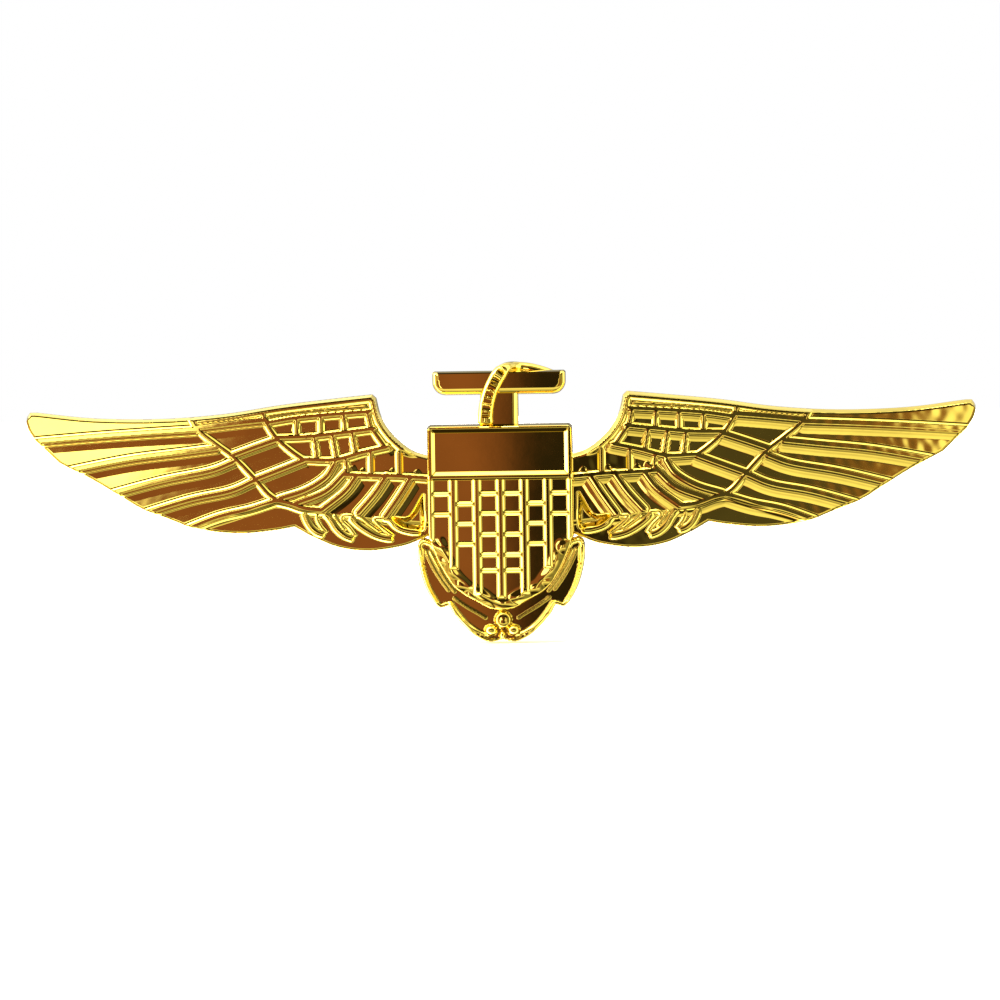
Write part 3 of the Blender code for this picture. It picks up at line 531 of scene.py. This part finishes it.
def plate_limit(x, z):
    """The plate is flat where the shield and the anchor's arms lie on it, and free elsewhere."""
    covered = np.maximum(inside_distance(x, z, SHIELD), inside_distance(x, z, ARMS)) > -0.04
    return np.where(covered, PLATE_FACE, 9.0)


def make_wing(name, side, drafts, fillet):
    """One wing; the left is the right one's drawing turned over."""
    edge = within_outline(WING * (side, 1))

    def front(x, z):
        return wing_height(x * side, z, edge(x, z), fillet)

    across = grid_lines(WEB_EDGE - 0.1, 35.1, WING_STEPS[0])
    if side < 0:
        across = -across[::-1]
    lines = (across, grid_lines(-5.3, 6.6, WING_STEPS[1]))
    struck_piece(name, lines, edge, front, flat(0.0), drafts, plate_limit, flat_back=True)


def make_web():
    """The flat plate that joins the wings behind the shield, with a small frame engraved in its back."""
    low = WING[-2][1]
    right = [(WEB_EDGE, 2.05), (2.5, 3.7)]
    left = [(-2.5, 3.7), (-WEB_EDGE, 2.05), (-WEB_EDGE, low), (-2.5, low), (-1.5, -7.4)]
    web = np.array(right + left + [(1.5, -7.4), (2.5, low), (WEB_EDGE, low)])
    frame_x, frame_z, frame_depth = BACK_FRAME

    def back(x, z):
        outer = np.minimum(frame_x - abs(x), frame_z - abs(z))
        return -frame_depth * (ease(outer, -0.03, 0.03) - ease(outer, 0.12, 0.18))

    step = 0.07
    across = grid_lines(-4.8, 4.8, step, (-frame_x, frame_x))
    up = grid_lines(-7.5, 3.8, step, (-frame_z, frame_z))
    struck_piece("wing_web", (across, up), within_outline(web), flat(PLATE_FACE), back)


# ---- Shield -----------------------------------------------------------------------------------------------


def rib_middles():
    """Where each rib's middle lies across the shield."""
    return [(number - RIB_COUNT // 2) * RIB_PITCH for number in range(RIB_COUNT)]


def shield_height(x, z):
    """Height of the shield's face: ribs and ladder bars below, and the chief above."""
    within = inside_distance(x, z, SHIELD)
    # The metal is crumpled towards the foot.
    lower = 1 - ease(z, -5.2, -3.8)
    dip = lower * (1 - np.clip(within / 0.8, 0, 1))
    crumple = abs(waves(x, z, 1.8, 21)) * 0.13
    floor = SHIELD_FLOOR - 0.25 * dip**1.5 + crumple * lower * (1 - ease(within, 0.5, 1.3))
    rise = np.zeros(x.shape)
    for number, middle in enumerate(rib_middles()):
        end = RIB_ENDS[min(number, RIB_COUNT - 1 - number)]
        across = np.interp(abs(x - middle), *RIB_SECTION)
        along = np.interp(z - end, [-0.22, -0.04, 0.06], [0, 0.9, 1])
        rise = np.maximum(rise, RIB_RISE * np.minimum(across, along))
    for column, left in enumerate(rib_middles()[:-1]):
        within_column = (x > left) & (x < left + RIB_PITCH)
        for level in LADDER_LEVELS[min(column, RIB_COUNT - 2 - column)]:
            bar = np.clip(1.1 - abs(z - level) / 0.16, 0, 1)
            # Rounded corners where a bar meets the ribs.
            corner = np.clip((abs(x - left - RIB_PITCH / 2) - 0.46) / 0.12, 0, 1)
            bar = np.maximum(bar, corner * np.clip(1.25 - abs(z - level) / 0.2, 0, 0.9))
            rise = np.maximum(rise, LADDER_RISE * bar * within_column)
    # Chief: a frame round a sunk panel; it slopes gently below its foot and inside its top.
    sides = np.interp(SHIELD_HALF - abs(x), *CHIEF_SIDES)
    foot = np.interp(z - CHIEF_BOTTOM, *CHIEF_FOOT)
    head = np.interp(SHIELD_TOP - z, *CHIEF_HEAD)
    chief = SHIELD_FLOOR + np.maximum(np.maximum(sides, foot), head)
    return np.where(z > CHIEF_BOTTOM - CHIEF_OVERLAP, chief, floor + rise)


def make_shield():
    """The shield, with grid lines on every crease of its ribs and chief."""

    def back(x, z):
        return np.where(abs(x) < CHANNEL_HALF, -CHANNEL_DEPTH, -SHIELD_BACK)

    marks_x = [side * (SHIELD_HALF - off) for off in CHIEF_SIDES[0][1:] for side in (-1, 1)]
    marks_x += [-CHANNEL_HALF, CHANNEL_HALF]
    for middle in rib_middles():
        marks_x += [middle + side * off for off in RIB_SECTION[0] for side in (-1, 1)]
    marks_z = [CHIEF_BOTTOM + off for off in [-CHIEF_OVERLAP] + CHIEF_FOOT[0][1:]]
    marks_z += [SHIELD_TOP - off for off in CHIEF_HEAD[0][1:]]
    lines = (grid_lines(-5.5, 5.5, FINE_STEP, marks_x), grid_lines(-9.8, 4.3, FINE_STEP, marks_z))
    struck_piece("shield_face", lines, within_outline(SHIELD), shield_height, back, (0.12, 0.14))


# ---- Anchor -----------------------------------------------------------------------------------------------


def stock_outline():
    """The stock: flat on top, with round lower corners."""
    turns = np.radians(np.linspace(0, 90, 9))
    low = STOCK_TOP - STOCK_HEIGHT
    across = STOCK_HALF - STOCK_CORNER + STOCK_CORNER * np.cos(turns)
    up = low + STOCK_CORNER - STOCK_CORNER * np.sin(turns)
    cut = 0.12
    top = [(STOCK_HALF - cut, STOCK_TOP), (STOCK_HALF, STOCK_TOP - cut)]
    right = np.vstack([top, np.stack([across, up], 1)])
    return np.vstack([right, (right * (-1, 1))[::-1]])


STOCK = stock_outline()
SHANK = np.array([(SHANK_HALF, 7.0), (SHANK_HALF, -10.0), (-SHANK_HALF, -10.0), (-SHANK_HALF, 7.0)])


def anchor_edge(x, z):
    """Distance into the anchor's outline: stock, shank and arms together."""
    depth = np.maximum(inside_distance(x, z, STOCK), inside_distance(x, z, SHANK))
    return np.maximum(depth, inside_distance(x, z, ARMS))


def crown_bumps(x, z):
    """Heights of the ball on the crown, the drop below it and the lump on each side."""
    ball_x, ball_z, ball_radius = CROWN_BALL
    radius = np.hypot(x - ball_x, z - ball_z) / ball_radius
    ball = 2.4 + np.interp(radius, [0, 0.45, 0.62, 0.8, 1.0], [0.44, 0.42, 0.39, 0.33, 0.0])
    drop = np.clip(1 - (x / 0.24) ** 2 - ((z + 11.3) / 0.34) ** 2, 0, None)
    lump = np.clip(1 - ((abs(x) - 0.82) / 0.5) ** 2 - ((z + 10.95) / 0.42) ** 2, 0, None)
    return ball, 2.3 + 0.5 * np.sqrt(drop), 2.25 + 0.6 * np.sqrt(lump)


def anchor_height(x, z):
    """Height of the anchor's face over the plate's back: stock, shank and leafed arms."""
    stock = inside_distance(x, z, STOCK)
    shank = inside_distance(x, z, SHANK)
    arms = inside_distance(x, z, ARMS)
    # The stock rounds over towards its foot and ends, and stays flat up to its top edge.
    lowered = np.where(z > 7.5, np.minimum(stock, STOCK[:, 0].max() - abs(x)), stock)
    lowered = np.where((z > 7.4) & (abs(x) < 4.5), 9.0, lowered)
    height = np.where(stock > -0.05, 0.95 + np.interp(lowered, *STOCK_RIM), 0)
    face = 0.93 + np.interp(SHANK_HALF - abs(x), *SHANK_RIM)
    height = np.where((shank > -0.05) & (arms < 0) & (stock < 0.15), np.maximum(height, face), height)
    rise = np.zeros(x.shape)
    for route in LEAF_RIDGES:
        raise_line(rise, abs(x), z, route, RIDGE_SECTION, LEAF_RISE, taper=0.25)
    leaf = np.interp(arms, *ARM_RIM) + rise
    leaf += 0.0015 * waves(x, z, 1.5, 9)
    # The crown sinks round its ball.
    leaf = leaf - 0.3 * ease(1.3 - np.hypot(x, (z + 10.6)), 0, 0.5)
    for bump in crown_bumps(x, z):
        leaf = np.maximum(leaf, bump)
    # The arms pass under the shield.
    nested = inside_distance(x, z, SHIELD) > 0.3
    leaf = np.where(nested, 1.5, leaf)
    return np.where(arms > -0.05, np.maximum(leaf, height), height)


def make_anchor():
    """The whole anchor as one casting, with grid lines on the creases of its stock and shank."""
    marks_x = (-SHANK_HALF, 0.3 - SHANK_HALF, SHANK_HALF - 0.3, SHANK_HALF)
    marks_z = [STOCK_TOP - STOCK_HEIGHT + off for off in STOCK_RIM[0]] + [STOCK_TOP]
    lines = (grid_lines(-6.3, 6.3, FINE_STEP, marks_x), grid_lines(-12.1, 8.3, FINE_STEP, marks_z))
    struck_piece("anchor_casting", lines, anchor_edge, anchor_height, flat(-ANCHOR_BACK), (0.08, 0.1))


def make_rope():
    """A cast rope: two smooth rails with square sinkings between them, and a small knot at its foot."""
    line = smooth(ROPE_ROUTE, 18)
    steps = np.linalg.norm(np.diff(line, axis=0), axis=1)
    run = np.concatenate([[0], np.cumsum(steps)])
    sides = 40
    turn = np.linspace(0, math.tau, sides, endpoint=False)
    points = []
    across = np.array([1.0, 0.0, 0.0])
    for i, here in enumerate(line):
        along = line[min(i + 1, len(line) - 1)] - line[max(i - 1, 0)]
        along /= np.linalg.norm(along)
        across -= along * across.dot(along)
        across /= np.linalg.norm(across)
        outward = np.cross(across, along)
        # The sinkings lie between the knot and the turn over the stock, on the side that faces forward.
        fade = 1 - ease(run[i], 4.1, 4.5)
        pitch = (run[i] / ROPE_PITCH) % 1
        pit = ease(pitch, 0.12, 0.26) * (1 - ease(pitch, 0.7, 0.86)) * fade * ease(run[i], 0.5, 0.6)
        inner = 1 - ease(abs(np.cos(turn)), 0.34, 0.62)
        sunk = (outward[1] * np.sin(turn) < 0) & (inner > 0.5)
        lift = np.where(sunk, 1 - pit + pit * 0.05 / np.maximum(abs(np.sin(turn)), 0.3), 1.0)
        # The two rails stand wide apart, and the tail behind the stock is round.
        wide = 1.3 - 0.3 * ease(run[i], 4.0, 4.8) + 0.1 * math.exp(-(((run[i] - 0.25) / 0.2) ** 2))
        cap = math.sqrt(max(0.0, 1 - (1 - min(run[i], run[-1] - run[i], 0.3) / 0.3) ** 2))
        radius = ROPE_RADIUS * max(cap, 0.05)
        ring = here + np.outer(np.cos(turn) * radius * wide, across)
        ring += np.outer(np.sin(turn) * radius * lift, outward)
        points.append(ring)
    thing = new_object("rope", np.vstack(points), tube_faces(len(line), sides), smooth_angle=60)
    mesh = bmesh.new()
    mesh.from_mesh(thing.data)
    bmesh.ops.recalc_face_normals(mesh, faces=mesh.faces)
    mesh.to_mesh(thing.data)
    mesh.free()


# ---- Posts, rivets and clutches ---------------------------------------------------------------------------


def middle_of(node):
    """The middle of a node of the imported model, in mm."""
    low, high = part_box(node)
    return [(a + b) / 2 / MM for a, b in zip(low, high)]


def arc(middle, radius, start, end, steps=6):
    """Points of an arc, its angles in degrees from the outward direction."""
    turns = np.radians(np.linspace(start, end, steps))
    return [(middle[0] + radius * math.cos(t), middle[1] + radius * math.sin(t)) for t in turns]


def turned_shape(profile, at, sides=96, closed=False):
    """Points and faces of a profile (radius, back) turned round the Y axis through at."""
    turns = np.linspace(0, math.tau, sides, endpoint=False)
    points, faces, rings = [], [], []
    for radius, back in profile:
        if radius == 0:
            rings.append([len(points)] * sides)
            points.append((at[0], at[1] + back, at[2]))
            continue
        rings.append(list(range(len(points), len(points) + sides)))
        points += [(at[0] + radius * math.cos(t), at[1] + back, at[2] - radius * math.sin(t)) for t in turns]
    for first, second in zip(rings, rings[1:] + ([rings[0]] if closed else [])):
        for i in range(sides):
            j = (i + 1) % sides
            face = [first[i], first[j], second[j], second[i]]
            faces.append([v for k, v in enumerate(face) if v != face[k - 1]])
    return points, [face for face in faces if len(face) > 2]


def block_shape(low, high):
    """Points and faces of a box."""
    points = [(x, y, z) for x in (low[0], high[0]) for y in (low[1], high[1]) for z in (low[2], high[2])]
    return points, [(0, 1, 3, 2), (4, 6, 7, 5), (0, 4, 5, 1), (2, 3, 7, 6), (0, 2, 6, 4), (1, 5, 7, 3)]


def make_post(name, x, z):
    """A soldered foot, a straight shaft with a groove that the clip grips, and a blunt point."""
    profile = [(0, 0.05), (1.27, 0.05), (1.3, 0.08)] + arc((1.15, 0.2), 0.15, 0, 90)
    profile += [(0.66, 0.35)] + arc((POST_RADIUS + 0.1, 0.45), 0.1, 270, 180) + [(POST_RADIUS, 6.35)]
    profile += arc((POST_RADIUS, 6.49), 0.13, 250, 110) + [(POST_RADIUS, 7.37)]
    profile += [(0.545, 7.42), (0.33, 8.0)] + arc((0.0, 8.09), 0.21, 0, 80) + [(0, 8.3)]
    points, faces = turned_shape(profile, (x, 0, z), 64)
    new_object(f"{name}_turned", points, faces, smooth_angle=40)


def make_rivet(name, z):
    """A shank through the layers with a low domed head on the back."""
    profile = [(0, -2.35), (0.5, -2.35), (0.5, 0.05), (0.85, 0.05)]
    profile += arc((0, -0.807), 1.207, 45.3, 85, 9) + [(0, 0.4)]
    points, faces = turned_shape(profile, (0, 0, z), 64)
    new_object(f"{name}_peened", points, faces, smooth_angle=40)


def make_clutch(name, x, z):
    """A dish that lies on the cloth, a bell with a window on each side, and the two strips inside it."""
    at = (x, CLOTH_GAP, z)
    lip = DISH_RADIUS - 0.18
    dish = [(CLUTCH_BORE, 0.0)] + arc((lip, 0.18), 0.18, 270, 360) + arc((lip, 0.77), 0.18, 0, 90)
    dish += arc((lip - 0.04, 0.77), 0.18, 90, 180) + arc((4.4, 0.55), 0.2, 0, -90)
    dish += [(3.95, 0.35), (1.25, 0.35), (1.15, 0.31), (CLUTCH_BORE, 0.31)]
    points, faces = turned_shape(dish, at, closed=True)
    new_object(f"{name}_dish", points, faces, name, smooth_angle=40)
    foot, top = BELL_FOOT, BELL_TOP
    bell = [(BELL_INNER, foot)] + arc((3.95, foot + 0.1), 0.1, 270, 360, 4)
    bell += arc((3.95, foot + 0.2), 0.1, 0, 90, 4) + arc((3.42, foot + 0.42), 0.12, 270, 180, 5)
    bell += arc((2.9, top - 0.4), 0.4, 0, 90, 8)
    # A shallow ring round the bore.
    bell += [(1.75, top), (1.65, top - 0.05), (1.15, top - 0.05), (1.05, top)]
    bell += [(CLUTCH_BORE + 0.05, top), (CLUTCH_BORE, top - 0.05), (CLUTCH_BORE, top - 0.3)]
    bell += arc((BELL_INNER - 0.25, top - 0.55), 0.25, 90, 0)
    points, faces = turned_shape(bell, at, closed=True)
    windows = []
    for side in (-1, 1):
        ends = sorted((x + side * 1.86, x + side * DISH_RADIUS))
        windows.append(block_shape((ends[0], at[1] + 0.85, z - 1.6), (ends[1], at[1] + 3.15, z + 1.6)))
    new_object(f"{name}_bell", points, faces, name, smooth_angle=35, cutters=windows)
    for letter, side in (("a", -1), ("b", 1)):
        make_spring(f"{name}_{letter}", at, side)


def make_spring(name, at, side):
    """A bent strip with rounded long edges and a rounded finger end, notched round the post."""
    pivot = np.array([at[0] + side * SPRING_HINGE[0], at[1] + SPRING_HINGE[1]])
    line = smooth(SPRING_LINE, 5)
    along = np.gradient(line, axis=0)
    along /= np.linalg.norm(along, axis=1)[:, None]
    normal = np.stack([-along[:, 1], along[:, 0]], 1)
    run = np.concatenate([[0], np.cumsum(np.linalg.norm(np.diff(line, axis=0), axis=1))])
    finger = 0.55
    points = []
    for here, out, travelled in zip(line, normal, run):
        left = run[-1] - travelled
        half = SPRING_HALF_WIDTH - finger * (1 - math.sqrt(1 - (1 - min(left, finger) / finger) ** 2))
        for thick, wide in SPRING_SECTION:
            spot = here + out * SPRING_HALF_THICK * thick
            width = math.copysign(half - SPRING_HALF_THICK * (1 - abs(wide)), wide)
            points.append((pivot[0] + side * spot[0], pivot[1] + spot[1], at[2] + width))
    faces = tube_faces(len(line), len(SPRING_SECTION))
    if side < 0:
        faces = [face[::-1] for face in faces]
    notch = turned_shape([(0, 0.1), (CLUTCH_BORE, 0.1), (CLUTCH_BORE, 3.1), (0, 3.1)], at, 64)
    new_object(f"{name}_strip", points, faces, name, smooth_angle=50, cutters=[notch])


# ---- Materials --------------------------------------------------------------------------------------------


class Nodes:
    """Builds a node tree a line at a time."""

    def __init__(self, tree):
        self.tree = tree

    def add(self, kind, inputs=(), **settings):
        node = self.tree.nodes.new(kind)
        for key, value in settings.items():
            setattr(node, key, value)
        for key, value in dict(inputs).items():
            if isinstance(value, bpy.types.NodeSocket):
                self.tree.links.new(value, node.inputs[key])
            else:
                node.inputs[key].default_value = value
        return node

    def math(self, operation, first, second=0.0):
        return self.add("ShaderNodeMath", {0: first, 1: second}, operation=operation).outputs[0]

    def ramp(self, value, low, high, out_low=0.0, out_high=1.0):
        inputs = {"Value": value, "From Min": low, "From Max": high, "To Min": out_low, "To Max": out_high}
        return self.add("ShaderNodeMapRange", inputs, interpolation_type="SMOOTHSTEP").outputs[0]

    def mix(self, share, first, second):
        node = self.add("ShaderNodeMix", data_type="RGBA")
        for key, value in ((0, share), (6, first), (7, second)):
            if isinstance(value, bpy.types.NodeSocket):
                self.tree.links.new(value, node.inputs[key])
            else:
                node.inputs[key].default_value = value
        return node.outputs[2]


def gold(name, colour, roughness, grain=0.0015, scale=900.0):
    """Plated metal: faint tint drift, uneven polish and a skin of very fine ripples."""
    material = bpy.data.materials.new(name)
    material.use_nodes = True
    nodes = Nodes(material.node_tree)
    shader = material.node_tree.nodes["Principled BSDF"]
    shader.inputs["Metallic"].default_value = 1.0
    place = nodes.add("ShaderNodeTexCoord").outputs["Object"]
    drift = nodes.add("ShaderNodeTexNoise", {"Vector": place, "Scale": 260.0, "Detail": 3.0}).outputs["Fac"]
    fine = nodes.add("ShaderNodeTexNoise", {"Vector": place, "Scale": scale, "Detail": 5.0}).outputs["Fac"]
    deep = [channel * 0.9 for channel in colour]
    tint = nodes.mix(nodes.ramp(drift, 0.35, 0.65), (*deep, 1.0), (*colour, 1.0))
    material.node_tree.links.new(tint, shader.inputs["Base Color"])
    polish = nodes.ramp(fine, 0.3, 0.75, roughness * 0.8, roughness * 1.3)
    material.node_tree.links.new(polish, shader.inputs["Roughness"])
    bump = nodes.add("ShaderNodeBump", {"Height": fine, "Strength": 0.35, "Distance": grain * MM})
    material.node_tree.links.new(bump.outputs[0], shader.inputs["Normal"])
    return material


def dress(name, material, node):
    """Gives a piece its material, and hides the node of the imported model that it replaces."""
    piece = bpy.data.objects[name]
    piece.data.materials.clear()
    piece.data.materials.append(material)
    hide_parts(node)


# ---- Stage ------------------------------------------------------------------------------------------------


def make_world():
    """A light tent with a dim gap ahead of the badge, which its flats mirror, between two black flags."""
    world = bpy.data.worlds.new("studio")
    bpy.context.scene.world = world
    world.use_nodes = True
    nodes = Nodes(world.node_tree)
    world.node_tree.nodes.clear()
    way = nodes.add("ShaderNodeTexCoord").outputs["Generated"]
    across, back, up = nodes.add("ShaderNodeSeparateXYZ", {0: way}).outputs
    # Both in degrees: the turn from straight ahead, positive to +X, and the rise over the horizon.
    turn = nodes.math("ARCTAN2", across, nodes.math("MULTIPLY", back, -1.0))
    turn = nodes.math("DIVIDE", turn, math.radians(1))
    rise = nodes.math("DIVIDE", nodes.math("ARCSINE", up), math.radians(1))

    def both(first, second):
        return nodes.math("MULTIPLY", first, second)

    def band(value, low, high, soft):
        opening = nodes.ramp(value, low - soft, low + soft)
        return both(opening, nodes.ramp(value, high - soft, high + soft, 1.0, 0.0))

    def grey(value):
        return nodes.add("ShaderNodeCombineColor", {0: value, 1: value, 2: value}).outputs[0]

    # Cloth that is dim and warm ahead, bright at the sides, most on the left, and softer behind.
    noise = nodes.add("ShaderNodeTexNoise", {"Vector": way, "Scale": 3.0, "Detail": 2.0}).outputs["Fac"]
    strength = nodes.ramp(back, -0.5, -0.33, 0.35, 3.4)
    strength = nodes.math("ADD", strength, nodes.ramp(back, 0.1, 0.45, 0.0, -2.4))
    lean = both(nodes.ramp(back, 0.1, 0.4, 1.0, 0.2), nodes.ramp(turn, -70, 60, 1.5, -0.5))
    strength = both(strength, nodes.math("ADD", lean, 1.1))
    strength = both(strength, nodes.ramp(back, 0.82, 0.92, 1.0, 0.3))
    strength = both(strength, nodes.ramp(noise, 0.35, 0.65, 0.7, 1.2))
    tint = nodes.mix(nodes.ramp(turn, -10, 20), (1.0, 0.74, 0.5, 1), (0.95, 0.9, 0.6, 1))
    tint = nodes.mix(nodes.ramp(back, -0.6, 0.0), tint, (1.0, 1.0, 1.0, 1))
    colour = nodes.add("ShaderNodeVectorMath", {0: grey(strength), 1: tint}, operation="MULTIPLY").outputs[0]
    # Black flags above and below the dim gap give each flat a dark line along its edge.
    ahead = band(turn, -34, 30, 6)
    flags = nodes.math("MAXIMUM", band(rise, 6, 34, 2.5), band(rise, -52, -37, 2.5))
    pale = band(rise, -38, -17, 1.2)
    colour = nodes.mix(both(ahead, flags), colour, (0.03, 0.02, 0.01, 1))
    shine = nodes.mix(nodes.ramp(rise, -36, -17), (0.4, 0.36, 0.24, 1), (1.2, 1.15, 0.9, 1))
    colour = nodes.mix(both(ahead, pale), colour, shine)
    # The gap itself: warm brown on the left, almost black in the middle, olive and then brown on the right.
    slant = nodes.math("SUBTRACT", turn, nodes.ramp(rise, -4.5, -1.5, -1.35, 1.35))
    gap = both(band(turn, -26, 24, 5), band(rise, -17, 6, 1.8))
    side = nodes.mix(nodes.ramp(turn, -1.7, -0.5), (0.26, 0.096, 0.07, 1), (0.022, 0.016, 0.012, 1))
    side = nodes.mix(nodes.ramp(turn, 0.4, 1.3), side, (0.075, 0.066, 0.05, 1))
    side = nodes.mix(nodes.ramp(turn, 3.6, 6.0), side, (0.3, 0.15, 0.07, 1))
    # A window at each end of the gap, seen in the wings' tips.
    ends = band(rise, -14, 5, 2)
    side = nodes.mix(both(band(slant, -13.5, -7.7, 0.7), ends), side, (2.8, 2.8, 2.8, 1))
    side = nodes.mix(both(band(turn, 6.2, 11, 0.6), ends), side, (1.3, 1.25, 1.0, 1))
    colour = nodes.mix(gap, colour, side)
    seen = nodes.add("ShaderNodeLightPath").outputs["Is Camera Ray"]
    colour = nodes.mix(seen, colour, (1.0, 1.0, 1.0, 1))
    ground = nodes.add("ShaderNodeBackground", {"Color": colour, "Strength": 1.0})
    nodes.add("ShaderNodeOutputWorld", {"Surface": ground.outputs[0]})


def make_floor():
    """Pale paper just below the badge. It glows a little, and the metal doesn't mirror it."""
    place = (0, 0, FLOOR_LEVEL * MM)
    bpy.ops.mesh.primitive_grid_add(x_subdivisions=2, y_subdivisions=2, size=FLOOR_SIZE * MM, location=place)
    floor = bpy.context.object
    floor.name = "floor"
    material = bpy.data.materials.new("paper")
    material.use_nodes = True
    nodes = Nodes(material.node_tree)
    shader = material.node_tree.nodes["Principled BSDF"]
    fibre = nodes.add("ShaderNodeTexNoise", {"Scale": 400.0, "Detail": 4.0}).outputs["Fac"]
    tint = nodes.mix(fibre, (0.93, 0.93, 0.93, 1), (0.97, 0.97, 0.97, 1))
    material.node_tree.links.new(tint, shader.inputs["Base Color"])
    shader.inputs["Roughness"].default_value = 0.9
    shader.inputs["Emission Color"].default_value = (1, 1, 1, 1)
    shader.inputs["Emission Strength"].default_value = 0.3
    floor.data.materials.append(material)
    floor.visible_glossy = False


def make_camera():
    """A long lens almost straight ahead, a little to the right, above and rolled."""
    azimuth, elevation, roll = (math.radians(angle) for angle in VIEW_ANGLES)
    level = math.cos(elevation)
    direction = Vector((math.sin(azimuth) * level, -math.cos(azimuth) * level, math.sin(elevation)))
    data = bpy.data.cameras.new("camera")
    data.sensor_width = 36.0
    data.lens = data.sensor_width * VIEW_DISTANCE / VIEW_WIDTH
    data.clip_start = 0.01
    camera = bpy.data.objects.new("camera", data)
    bpy.context.scene.collection.objects.link(camera)
    camera.location = (Vector(VIEW_AIM) + direction * VIEW_DISTANCE) * MM
    look = (-direction).to_track_quat("-Z", "Y").to_matrix().to_4x4()
    camera.matrix_world = Matrix.Translation(camera.location) @ look @ Matrix.Rotation(-roll, 4, "Z")
    bpy.context.scene.camera = camera


bpy.context.scene.view_settings.view_transform = "Standard"
make_camera()
make_world()
make_floor()
for wing in WINGS:
    make_wing(*wing)
make_web()
make_shield()
make_anchor()
make_rope()
for station in STATIONS:
    x, _, z = middle_of(f"post_{station}")
    make_post(f"post_{station}", x, z)
    make_clutch(f"clutch_{station}", x, z)
for rivet in RIVETS:
    make_rivet(rivet, middle_of(rivet)[2])

struck = gold("struck_gold", (1.0, 0.77, 0.14), 0.035)
pressed = gold("pressed_brass", (0.9, 0.66, 0.2), 0.2, 0.002)
spring = gold("spring_brass", (0.93, 0.73, 0.33), 0.16, 0.002)
wire = gold("plated_wire", (0.86, 0.75, 0.5), 0.14, 0.001)
peened = gold("peened_brass", (0.8, 0.58, 0.2), 0.28, 0.003)
for station in STATIONS:
    clutch = f"clutch_{station}"
    dress(f"post_{station}_turned", wire, f"post_{station}")
    dress(f"{clutch}_dish", pressed, f"{clutch}_base")
    dress(f"{clutch}_bell", pressed, f"{clutch}_cap")
    for letter in "ab":
        dress(f"{clutch}_{letter}_strip", spring, f"{clutch}_lever_{letter}")
for rivet in RIVETS:
    dress(f"{rivet}_peened", peened, rivet)
for piece in ("wing_left", "wing_right", "wing_web"):
    dress(piece, struck, "wing_plate")
dress("shield_face", struck, "shield")
dress("anchor_casting", struck, "anchor")
dress("rope", struck, "anchor_rope")
